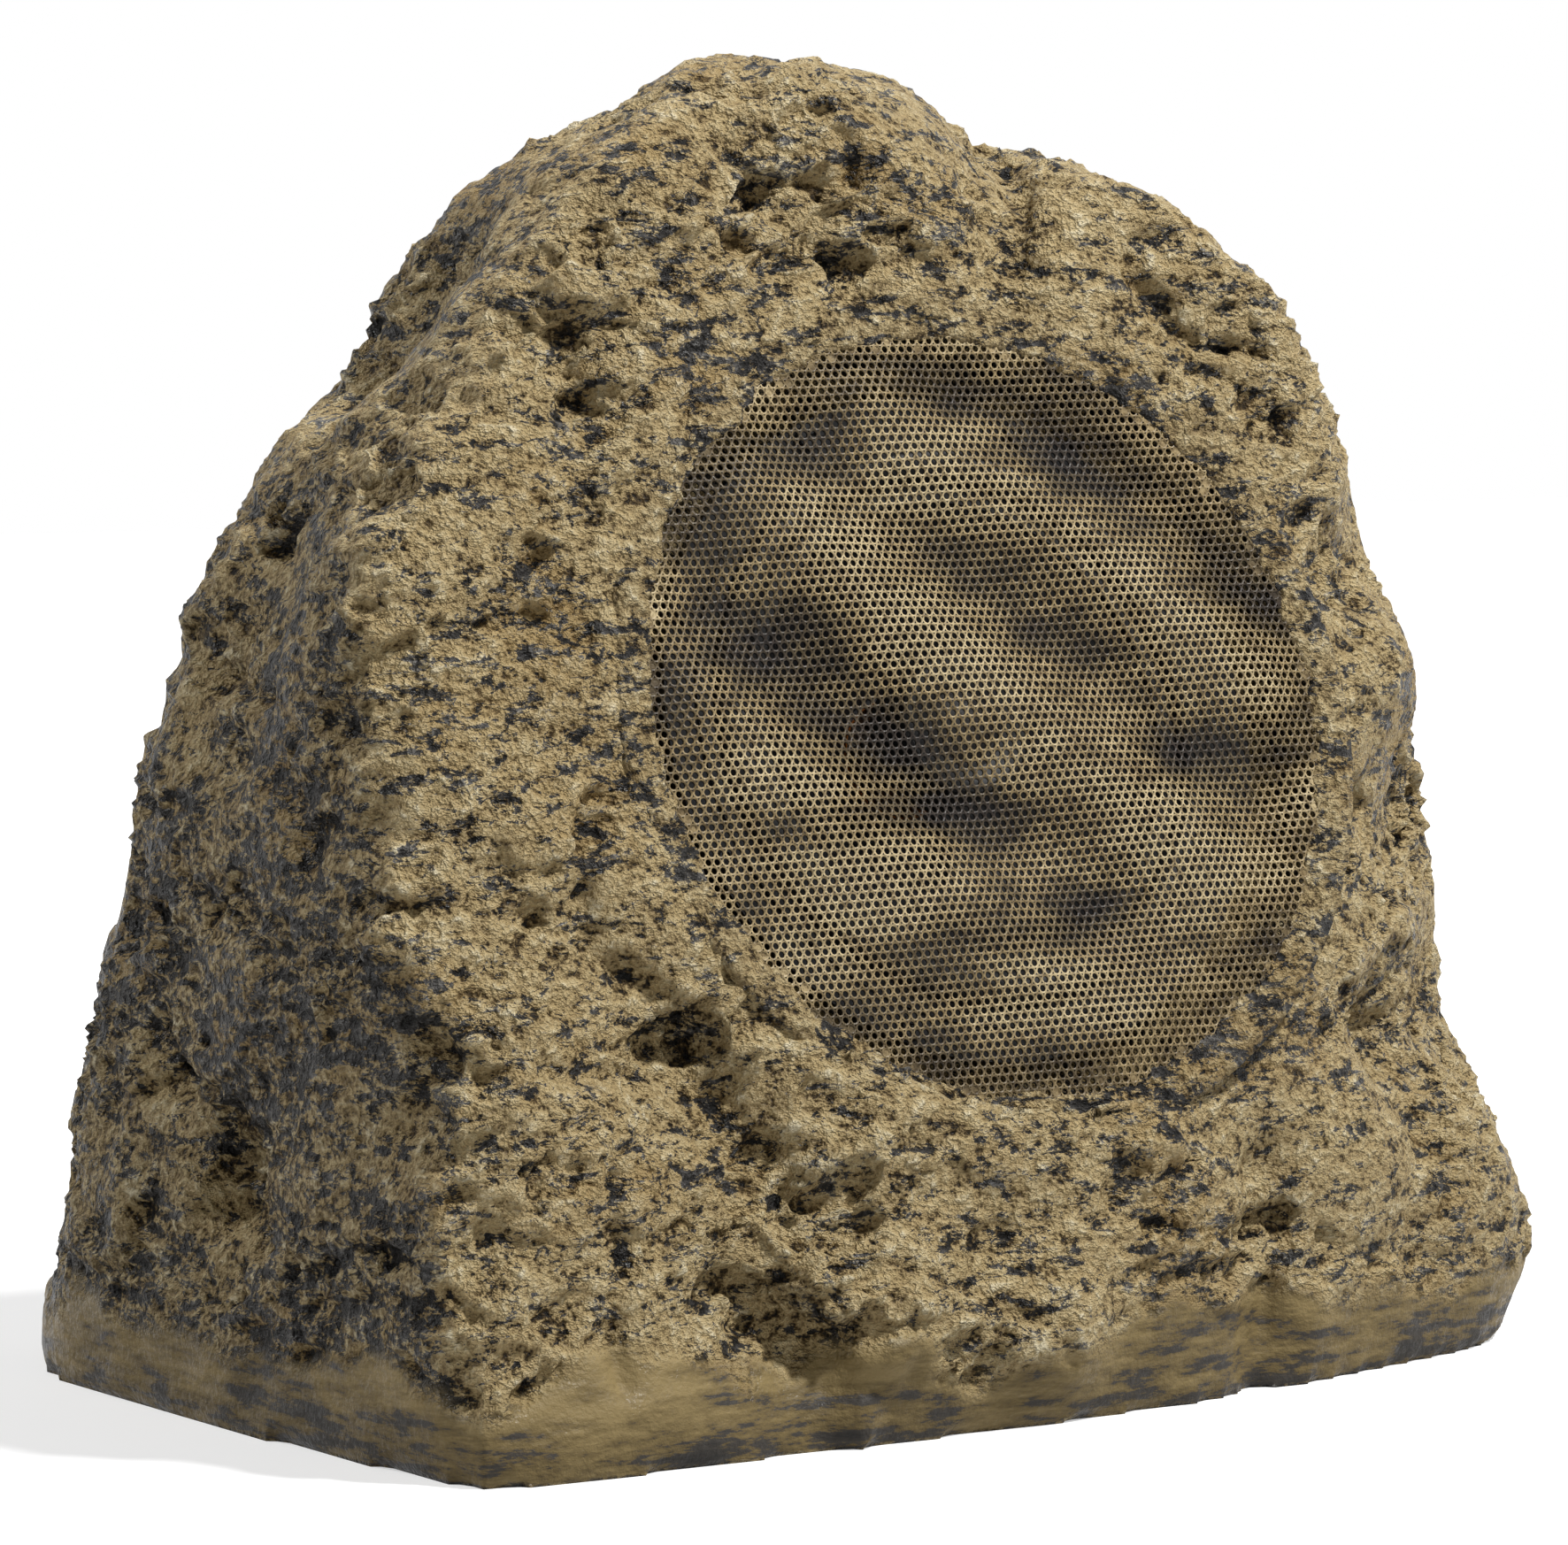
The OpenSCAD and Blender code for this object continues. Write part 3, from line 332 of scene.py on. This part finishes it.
# Slots of the record: common name, darker and lighter tone, grain in mm, roughness, relief in mm
# and metallic
INNER_FINISHES = {
    "black_plastic": ("moulded_black_nylon", "#161617", "#1f1f20", 0.8, 0.5, 0.03, 0.0),
    "gasket_rubber": ("closed_cell_rubber", "#141414", "#1e1e1e", 1.2, 0.85, 0.1, 0.0),
    "basket_steel": ("black_stoved_enamel", "#17171a", "#1d1d20", 2.0, 0.35, 0.02, 0.0),
    "cone_poly": ("mineral_filled_polypropylene", "#19191b", "#232326", 2.5, 0.45, 0.05, 0.0),
    "surround_rubber": ("butyl_rubber", "#121213", "#19191a", 1.5, 0.6, 0.02, 0.0),
    "former_kapton": ("amber_polyimide_film", "#8a4d14", "#a8611c", 3.0, 0.3, 0.01, 0.0),
    "copper_wire": ("enamelled_copper_wire", "#8e4f2c", "#b56d3f", 0.8, 0.35, 0.1, 1.0),
    "spider_cloth": ("resin_dipped_cotton", "#a8904e", "#c2aa66", 0.9, 0.85, 0.1, 0.0),
    "motor_steel": ("zinc_plated_steel", "#a9abac", "#c3c5c4", 5.0, 0.35, 0.01, 1.0),
    "ferrite": ("sintered_ferrite", "#2b2b2d", "#363638", 1.0, 0.65, 0.03, 0.0),
    "dome_silk": ("coated_silk", "#23201e", "#302c29", 0.5, 0.55, 0.03, 0.0),
    "tag_board": ("phenolic_board", "#7a4c22", "#94602f", 1.5, 0.5, 0.02, 0.0),
    "screw_black": ("black_phosphated_steel", "#202022", "#2c2c2e", 0.5, 0.5, 0.02, 0.0),
    "screw_steel": ("stainless_steel", "#b4b4b0", "#cbcbc7", 0.6, 0.3, 0.01, 1.0),
    "board_green": ("solder_masked_glass_epoxy", "#0f4a2c", "#15603a", 1.0, 0.35, 0.03, 0.0),
    "standoff_brass": ("turned_brass", "#b08d4c", "#c9a560", 0.6, 0.3, 0.01, 1.0),
    "capacitor_film": ("yellow_film_wrap", "#b5801a", "#cc9526", 4.0, 0.35, 0.02, 0.0),
    "resistor_ceramic": ("white_cement", "#cfccc2", "#e0ded6", 0.8, 0.8, 0.06, 0.0),
    "terminal_green": ("green_polyamide", "#1f6b3c", "#2a7d49", 0.8, 0.45, 0.02, 0.0),
    "wire_red": ("red_pvc_insulation", "#8e1712", "#a51e18", 1.5, 0.4, 0.01, 0.0),
    "wire_blue": ("blue_pvc_insulation", "#173a8a", "#1e46a0", 1.5, 0.4, 0.01, 0.0),
}


def dress(obj, *materials):
    obj.data.materials.clear()
    for material in materials:
        obj.data.materials.append(material)


stone = painted_cast_stone()
laminate = bare_laminate()
grille_paint = painted_perforated_steel()
finishes = {slot: inner_finish(*row) for slot, row in INNER_FINISHES.items()}
for part in frame["record"]["subparts"]:
    if part["material_slot"] in finishes:
        dress(frame["nodes"][part["node"]], finishes[part["material_slot"]])


# Meshes

def object_from(bm, name):
    mesh = bpy.data.meshes.new(name)
    bm.to_mesh(mesh)
    bm.free()
    obj = bpy.data.objects.new(name, mesh)
    bpy.context.scene.collection.objects.link(obj)
    return obj


def finished(obj):
    """Applies the modifiers of a piece."""
    bpy.context.view_layer.update()
    mesh = bpy.data.meshes.new_from_object(obj.evaluated_get(bpy.context.evaluated_depsgraph_get()))
    obj.modifiers.clear()
    obj.data = mesh
    return obj


def smooth(obj):
    obj.data.polygons.foreach_set("use_smooth", [True] * len(obj.data.polygons))
    return obj


def cad_copy(name, node):
    """Copy of a CAD node whose loose triangles are merged."""
    bm = bmesh.new()
    bm.from_mesh(frame["nodes"][node].data)
    bmesh.ops.remove_doubles(bm, verts=bm.verts, dist=1e-6)
    return object_from(bm, name)


# Rock

# Edge of the even mesh over the rock, which is halved again on the side in view
VOXEL = 4.2 * MM
# Share of the triangles that is left once the unseen lining is thinned
LINING_KEPT = 0.56
RIM_H = 21.0
# The stone's small forms are flattened along this direction, so that they run in tilted layers
STRATA = Vector((-0.28, 0.1, 0.95)).normalized()
# How near each other the rock and the sheet come, and over what width the rock comes down to it
FLUSH_SINK, FLUSH_W = 2.2, 15.0

# Heading of the place where the wall of the rim is thinnest, and the block behind it: its depth,
# length and height, and how far its middle lies inside the rim
THIN_RIM = -32.0
BLOCK = (6.0, 34.0, 12.0)
BLOCK_IN = 4.4
# Radii of the pockets that the grille and the port's cover sit in
POCKET_R, PORT_POCKET_R = 124.5, 29.4

# Creases and pits seen in the photograph: points in mm, radius and depth
CREASES = [
    ([(-71, -17, 395), (-57, -26, 395), (-43, -35, 394), (-33, -41, 386), (-29, -43, 378),
      (-27, -45, 367)], 3.2, 3.0),
    ([(-67, -39, 373), (-60, -42, 362), (-50, -46, 350), (-37, -48, 343)], 4.5, 4.0),
    ([(-47, -44, 363), (-42, -46, 353)], 7, 4.0),
    ([(55, -4, 372), (35, -40, 357), (28, -49, 341)], 4.5, 5.0),
    ([(86, -51, 351), (73, -51, 348), (68, -53, 341), (71, -55, 335), (80, -56, 328), (82, -58, 321),
      (93, -61, 316), (111, -62, 314)], 3.6, 4.5),
    ([(-135, -59, 310), (-135, -60, 303)], 6, 7.0),
    ([(-145, -48, 335), (-136, -56, 323)], 4, 3.5),
    ([(-123, -58, 325), (-99, -55, 336)], 4, 3.0),
    ([(-164, -113, 161), (-163, -116, 145), (-144, -118, 132)], 5, 5.0),
    ([(-204, -131, 122), (-182, -132, 112), (-143, -119, 108)], 3.5, 3.5),
    ([(-125, -124, 104), (-124, -129, 89)], 6, 5.0),
    ([(-108, -134, 85), (-112, -137, 71)], 6, 5.0),
    ([(-134, -117, 114), (-133, -122, 104)], 5, 4.0),
    ([(-222, -116, 124), (-218, -125, 120), (-210, -133, 114)], 5, 5.0),
    ([(-169, -139, 83), (-172, -143, 71), (-169, -146, 56)], 3.2, 3.0),
    ([(-124, -140, 41), (-120, -142, 37), (-105, -147, 30)], 7, 6.0),
    ([(-123, -141, 49), (-97, -148, 53), (-62, -152, 45), (-33, -155, 33), (-22, -155, 19)], 3.2, 3.2),
    ([(-78, -157, 35), (-81, -156, 19)], 3, 2.5),
    ([(-176, -151, 41), (-176, -156, 27)], 5, 5.0),
    ([(-212, -144, 68), (-218, -144, 59)], 8, 5.0),
    ([(82, -123, 61), (75, -122, 45), (70, -124, 24), (67, -125, 12)], 4, 4.5),
    ([(101, -112, 102), (103, -119, 81)], 5, 3.0),
    ([(133, -68, 258), (164, -40, 245)], 5, 4.0),
    ([(-231, -12, 81), (-229, -17, 68)], 10, 6.0),
    ([(-230, 26, 109), (-231, 12, 97)], 7, 4.0),
    ([(-228, -55, 188), (-230, -66, 168)], 6, 4.0),
    ([(-210, 22, 219), (-221, -25, 214)], 5, 3.5),
]
CREASES = [([Vector(p) for p in points], radius, depth) for points, radius, depth in CREASES]


def creased(q):
    """Depth of the creases at a point, both in millimetres."""
    depth = 0.0
    for points, radius, deep in CREASES:
        if (q - points[0]).length > 3 * radius + sum((b - a).length for a, b in zip(points, points[1:])):
            continue
        near = min(off_line(q, a, b) for a, b in zip(points, points[1:]))
        if near < 3 * radius:
            depth += deep * math.exp(-(near / radius) ** 2)
    return depth


def crags(q):
    """Height of the moulded stone's crags, chips and pits at a point, both in millimetres."""
    q = q + STRATA * (0.8 * q.dot(STRATA))
    warp = noise.noise_vector(q / 24.0) * 6.0
    ridge = noise.ridged_multi_fractal((q + warp) / 26.0, 0.9, 2.2, 3, 1.0, 2.0) - 1.1
    far, points = noise.voronoi((q + warp) / 21.0)
    chip = (noise.cell(points[0] * 7.31) - 0.5) * ease((far[1] - far[0]) / 0.16)
    lumps = noise.multi_fractal(q / 8.0, 0.6, 2.3, 3) - 1.0
    pit = 1 - ease(noise.voronoi(q / 9.0)[0][0] / 0.40)
    pitted = ease((noise.noise(q / 33.0 + Vector((7, 3, 1))) + 0.1) / 0.4)
    busy = 0.45 + 1.3 * ease(1.3 * noise.noise(q / 52.0 + Vector((2, 9, 4))) + 0.5)
    return busy * (1.2 * ridge + 2.0 * chip + 1.0 * lumps) - 0.9 * pit * pitted


def back_rim(obj):
    """Backs the rim with a block on the inside at the one place where its wall is under 3 mm, which
    the even mesh would lose."""
    out = facing(THIN_RIM, 0)
    bm = bmesh.new()
    bm.from_mesh(obj.data)
    hit = BVHTree.FromBMesh(bm).ray_cast(Vector((HEART.x, HEART.y, 4 * MM)) + out, -out)[0]
    at = Vector((hit.x, hit.y, BLOCK[2] / 2 * MM)) - out * BLOCK_IN * MM
    turn = Matrix((out, Vector((0, 0, 1)).cross(out), Vector((0, 0, 1)))).transposed().to_4x4()
    block = Matrix.Translation(at) @ turn @ Matrix.Diagonal((*BLOCK, 1.0))
    bmesh.ops.create_cube(bm, size=MM, matrix=block)
    bm.to_mesh(obj.data)
    bm.free()


def rock_skin():
    """The rock with its crags: an even mesh over the CAD shell, finer on the side in view, whose
    lining is thinned, pushed in and out along its normals."""
    obj = cad_copy("rock_skin", "rock_shell")
    back_rim(obj)
    remesh = obj.modifiers.new("even mesh", "REMESH")
    remesh.mode = "VOXEL"
    remesh.voxel_size = VOXEL
    finished(obj)
    bm = bmesh.new()
    bm.from_mesh(obj.data)
    tree = BVHTree.FromBMesh(bm)
    lining = obj.vertex_groups.new(name="lining")
    inner = []
    for v in bm.verts:
        start = HEART.copy()
        start.z = min(v.co.z, HEART.z)
        way = (v.co - start).normalized()
        if v.normal.dot(way) < 0.0 and tree.ray_cast(v.co + way * MM, way, 0.08)[0] is not None:
            inner.append(v.index)
    bm.free()
    lining.add(inner, 1.0, "REPLACE")
    thin = obj.modifiers.new("thin lining", "DECIMATE")
    thin.vertex_group = "lining"
    thin.ratio = LINING_KEPT
    finished(obj)
    bm = bmesh.new()
    bm.from_mesh(obj.data)
    weights = bm.verts.layers.deform.verify()
    group = lining.index
    view = (camera.matrix_world.translation - HEART).normalized()
    seen = {f for f in bm.faces
            if f.normal.dot(view) > -0.1 and not any(group in v[weights] for v in f.verts)}
    edges = [e for e in bm.edges if e.link_faces and all(f in seen for f in e.link_faces)]
    bmesh.ops.subdivide_edges(bm, edges=edges, cuts=1, use_grid_fill=True)
    bm.normal_update()

    bare_and_shaded = bm.verts.layers.float.new("bare_and_shaded")
    proud = bm.verts.layers.float.new("proud")
    band = bm.verts.layers.float.new("band")
    unpainted = set()
    moves = []
    for v in bm.verts:
        q = v.co / MM
        w, off = off_axis(v.co, GRILLE_AT, OUT)
        port_w, port_off = off_axis(v.co, PORT_AT, PORT_OUT)
        gland_off = off_axis(v.co, GLAND_AT, Vector((0, 1, 0)))[1] if v.co.y > 0.1 else 99.0
        start = HEART.copy()
        start.z = min(v.co.z, HEART.z)
        in_pocket = -60 < w < -1.0 and off < POCKET_R
        in_port = port_off < PORT_POCKET_R and port_w < 2
        under = q.z < 1.0 and v.normal.z < -0.5
        if (group in v[weights] or in_pocket or in_port or under
                or v.normal.dot(v.co - start) < 0.0):
            unpainted.add(v)
            continue
        edge = RIM_H + 14 * noise.noise(q / 45.0) + 6 * noise.noise(q / 12.0)
        above = ease((q.z - edge) / 9.0)
        calm = min(ease((port_off - 29) / 9.0) if port_w > -12 else 1.0, ease((gland_off - 13) / 9.0))
        sink = 0.0
        if w > -20:
            calm = min(calm, 0.25 + 0.75 * ease((off - 124.0) / 20.0))
            sink = FLUSH_SINK * (1 - ease((off - 123.0) / FLUSH_W))
        height = crags(q) * (0.05 + 0.95 * above) * calm - creased(q) * ease((q.z - 3) / 24.0) - sink
        moves.append((v, v.normal * height * MM))
        v[band] = 1 - above
    for v, move in moves:
        v.co += move
        v.co.z = max(v.co.z, 0.0)

    # how far each point stands proud of the mesh smoothed over some 10 mm
    calmed = bm.copy()
    for _ in range(14):
        bmesh.ops.smooth_vert(calmed, verts=calmed.verts, factor=0.5,
                              use_axis_x=True, use_axis_y=True, use_axis_z=True)
    calmed.verts.ensure_lookup_table()
    bm.normal_update()
    bm.verts.index_update()
    # how far the smoothed surface turns from the brush, which comes from about where the key lamp stands:
    # it gives both the slate flecks that the brush missed and painted shade on that side
    brush_and_light = Vector((0.35, -0.55, 0.75)).normalized()
    for v in bm.verts:
        v[proud] = (v.co - calmed.verts[v.index].co).dot(v.normal) / MM
        v[bare_and_shaded] = ease((0.45 - calmed.verts[v.index].normal.dot(brush_and_light)) / 1.1)
    calmed.free()
    for f in bm.faces:
        f.material_index = 1 if all(v in unpainted for v in f.verts) else 0
    bmesh.ops.triangulate(bm, faces=bm.faces[:])
    print("rock triangles", len(bm.faces))
    bm.to_mesh(obj.data)
    bm.free()
    obj.vertex_groups.clear()
    dress(obj, stone, laminate)
    return smooth(obj)


rock = rock_skin()
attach(rock, "cabinet")
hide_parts("rock_shell")


# Perforated sheets

# Swells pressed into the sheet, as in the part's source: line in mm (right, up), width, height
SWELLS = [
    ((-80, 70), (60, -40), 26, 1.0),
    ((-30, 95), (95, 10), 22, 0.8),
    ((-100, 0), (30, -95), 24, 0.9),
    ((-95, 40), (20, -60), 20, -1.0),
    ((-60, 95), (90, -30), 18, -0.9),
    ((10, 100), (100, 50), 16, -0.6),
]


def swell(x, y):
    """Height of the sheet at a point of the grille's frame, all in millimetres."""
    p = Vector((x, y))
    total = sum(h * math.exp(-(off_line(p, Vector(a), Vector(b)) / w) ** 2) for a, b, w, h in SWELLS)
    return SWELL_H * ease((GRILLE_R / MM - 4 - p.length) / 18) * total


def place(obj, at, right, out):
    """Turns a piece made in millimetres on the XY plane into its place."""
    turn = Matrix((right, out.cross(right), out)).transposed().to_4x4()
    obj.data.transform(Matrix.Translation(at) @ turn @ Matrix.Scale(MM, 4))
    return obj


def perforated(name, radius, hole_r, clogged_r, height, pitch=3.0, hole_d=2.15, thick=0.8):
    """Round sheet in millimetres on the XY plane, with staggered holes out to hole_r, more and more
    of them filled with paint from clogged_r on. Its height follows the function given. The holes
    are 2 mm wide on the real sheet, and are drawn a little wider to show."""
    chance = random.Random(5)
    step = pitch * math.sqrt(3) / 2
    bm = bmesh.new()
    inside = bm.verts.layers.float.new("inside")
    outer = bmesh.ops.create_circle(bm, cap_ends=False, segments=6, radius=pitch / math.sqrt(3))["verts"]
    inner = bmesh.ops.create_circle(bm, cap_ends=False, segments=8, radius=hole_d / 2)["verts"]
    bmesh.ops.rotate(bm, verts=outer, matrix=Matrix.Rotation(math.pi / 6, 3, "Z"))
    bmesh.ops.triangle_fill(bm, edges=bm.edges[:], use_beauty=True)
    rim = [e for e in bm.edges if len(e.link_faces) == 1 and all(v in inner for v in e.verts)]
    wall = bmesh.ops.extrude_edge_only(bm, edges=rim)["geom"]
    wall = [g for g in wall if isinstance(g, bmesh.types.BMVert)]
    for v in wall:
        v[inside] = 1.0
    bmesh.ops.scale(bm, verts=wall, vec=(0.94, 0.94, 1))
    bmesh.ops.translate(bm, verts=wall, vec=(0, 0, -thick))
    bmesh.ops.recalc_face_normals(bm, faces=bm.faces)
    obj = object_from(bm, name)
    count = int(radius / pitch) + 2
    rows = int(radius / step / 2) + 2
    arrays = [("row", (pitch, 0, 0), 2 * count + 1),
              ("stagger", (pitch / 2, step, 0), 2),
              ("rows", (0, 2 * step, 0), 2 * rows + 1)]
    for label, offset, number in arrays:
        array = obj.modifiers.new(label, "ARRAY")
        array.use_relative_offset = False
        array.use_constant_offset = True
        array.constant_offset_displace = offset
        array.count = number
    finished(obj)
    bm = bmesh.new()
    bm.from_mesh(obj.data)
    bmesh.ops.translate(bm, verts=bm.verts, vec=(-count * pitch, -2 * rows * step, 0))
    far = [v for v in bm.verts if v.co.xy.length > radius - 0.2]
    bmesh.ops.delete(bm, geom=far, context="VERTS")
    bmesh.ops.remove_doubles(bm, verts=bm.verts, dist=pitch * 0.02)
    up = [f for f in bm.faces if f.normal.z < -0.5]
    bmesh.ops.reverse_faces(bm, faces=up)
    for i in range(-count, count + 1):
        for j in range(-2 * rows, 2 * rows + 1):
            x, y = pitch * (i + (0.5 if j % 2 else 0.0)), j * step
            off = math.hypot(x, y)
            if off < radius - 1.4 and (
                    off > hole_r
                    or chance.random() < (off - clogged_r) / (hole_r - clogged_r) * 0.6):
                bmesh.ops.create_circle(bm, cap_ends=True, segments=8, radius=hole_d / 2 + 0.02,
                                        matrix=Matrix.Translation((x, y, -0.3 * chance.random())))
    trough = bm.verts.layers.float.new("trough")
    for v in bm.verts:
        lift = height(v.co.x, v.co.y)
        v.co.z += lift
        v[trough] = -lift / SWELL_H
    print(name, "triangles", sum(len(f.verts) - 2 for f in bm.faces))
    bm.to_mesh(obj.data)
    bm.free()
    dress(obj, grille_paint)
    return smooth(obj)


grille = perforated("grille_sheet", GRILLE_R / MM, 121.5, 114.0, swell)
place(grille, GRILLE_AT, RIGHT, OUT)
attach(grille, "cabinet")
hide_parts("grille")

cover = perforated("port_sheet", PORT_R, PORT_HOLE_R, 18.0, lambda x, y: 0.0)
place(cover, PORT_AT, PORT_RIGHT, PORT_OUT)
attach(cover, "cabinet")
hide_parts("port_grille")


def paint_lip():
    """The ragged edge where the stone's coating was brushed over the edge of the sheet."""
    bm = bmesh.new()
    profile = [(131.0, -1.0), (131.0, 0.6), (127.5, 1.6), (124.5, 1.3), (122.0, 0.9), (119.5, 0.5),
               (118.0, -0.1), (118.0, -0.8)]
    verts = [bm.verts.new((r, 0, z)) for r, z in profile]
    edges = [bm.edges.new((a, b)) for a, b in zip(verts, verts[1:])]
    bmesh.ops.spin(bm, geom=verts + edges, cent=(0, 0, 0), axis=(0, 0, 1), angle=2 * math.pi,
                   steps=720, use_merge=True)
    bmesh.ops.remove_doubles(bm, verts=bm.verts, dist=1e-4)
    bmesh.ops.recalc_face_normals(bm, faces=bm.faces)
    proud = bm.verts.layers.float.new("proud")
    bare_and_shaded = bm.verts.layers.float.new("bare_and_shaded")
    for v in bm.verts:
        r = v.co.xy.length
        flat = Vector((v.co.x, v.co.y, 0))
        inward = ease((127.0 - r) / 7.0)
        shift = (3.0 * noise.noise(flat / 17.0) + 1.8 * noise.noise(flat / 5.0)
                 + 0.7 * noise.noise(flat / 2.0))
        v.co.xy *= (r + inward * shift) / r
        if v.co.z > -0.5:
            v.co.z += 0.7 * noise.noise(flat / 6.0) * (1 - inward) + 0.35 * noise.noise(flat / 2.2)
        v[proud] = 0.6 * noise.noise(flat / 6.0)
        # the lip takes a fixed share of those flecks and of that painted shade
        v[bare_and_shaded] = 0.35
    obj = object_from(bm, "paint_lip")
    dress(obj, stone)
    return smooth(place(obj, GRILLE_AT, RIGHT, OUT))


lip = paint_lip()
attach(lip, "cabinet")


# Stage and light

def shown(tree):
    """1 for the rays that are to see the white background, and 0 for those that only light."""
    rays = add(tree, "ShaderNodeLightPath").outputs
    direct = add(tree, "ShaderNodeMath", {0: rays["Is Camera Ray"], 1: rays["Is Glossy Ray"]},
                 operation="MAXIMUM")
    return add(tree, "ShaderNodeMath", {0: direct, 1: rays["Is Transmission Ray"]},
               operation="MAXIMUM")


def add_stage():
    """A floor that shows as white, more so away from the object, whose shadow it keeps."""
    bm = bmesh.new()
    bmesh.ops.create_grid(bm, x_segments=1, y_segments=1, size=6)
    floor = object_from(bm, "floor")
    material, tree, shader, coords = new_material("white_floor")
    shader.inputs["Base Color"].default_value = linear("#c9c9c9")
    shader.inputs["Roughness"].default_value = 0.9
    away = add(tree, "ShaderNodeVectorMath", {0: coords}, operation="LENGTH").outputs["Value"]
    glow = add(tree, "ShaderNodeMapRange", {0: away, 1: 0.35, 2: 1.1, 3: 0.5, 4: 1.0})
    glow = add(tree, "ShaderNodeMath", {0: shown(tree), 1: glow}, operation="MULTIPLY")
    shader.inputs["Emission Color"].default_value = linear("#ffffff")
    tree.links.new(glow.outputs[0], shader.inputs["Emission Strength"])
    dress(floor, material)


def add_lamp(name, at, size, power):
    data = bpy.data.lights.new(name, "AREA")
    data.shape = "DISK"
    data.size = size
    data.energy = power
    lamp = bpy.data.objects.new(name, data)
    lamp.location = at
    lamp.rotation_euler = (Vector((0, 0, 0.2)) - Vector(at)).to_track_quat("-Z", "Y").to_euler()
    bpy.context.scene.collection.objects.link(lamp)


def add_world():
    """Soft light all round, shown as white."""
    world = bpy.data.worlds.new("studio")
    world.use_nodes = True
    tree = world.node_tree
    strength = add(tree, "ShaderNodeMapRange", {0: shown(tree), 3: 0.14, 4: 1.0})
    tree.nodes["Background"].inputs["Color"].default_value = linear("#ffffff")
    tree.links.new(strength.outputs[0], tree.nodes["Background"].inputs["Strength"])
    bpy.context.scene.world = world


add_stage()
add_lamp("key", (1.0, -1.2, 2.6), 0.3, 112)
add_lamp("rake", (-1.3, 1.3, 1.7), 0.3, 24)
add_lamp("fill", (-2.2, -1.8, 1.2), 1.0, 5)
add_world()
bpy.context.scene.view_settings.view_transform = "Standard"
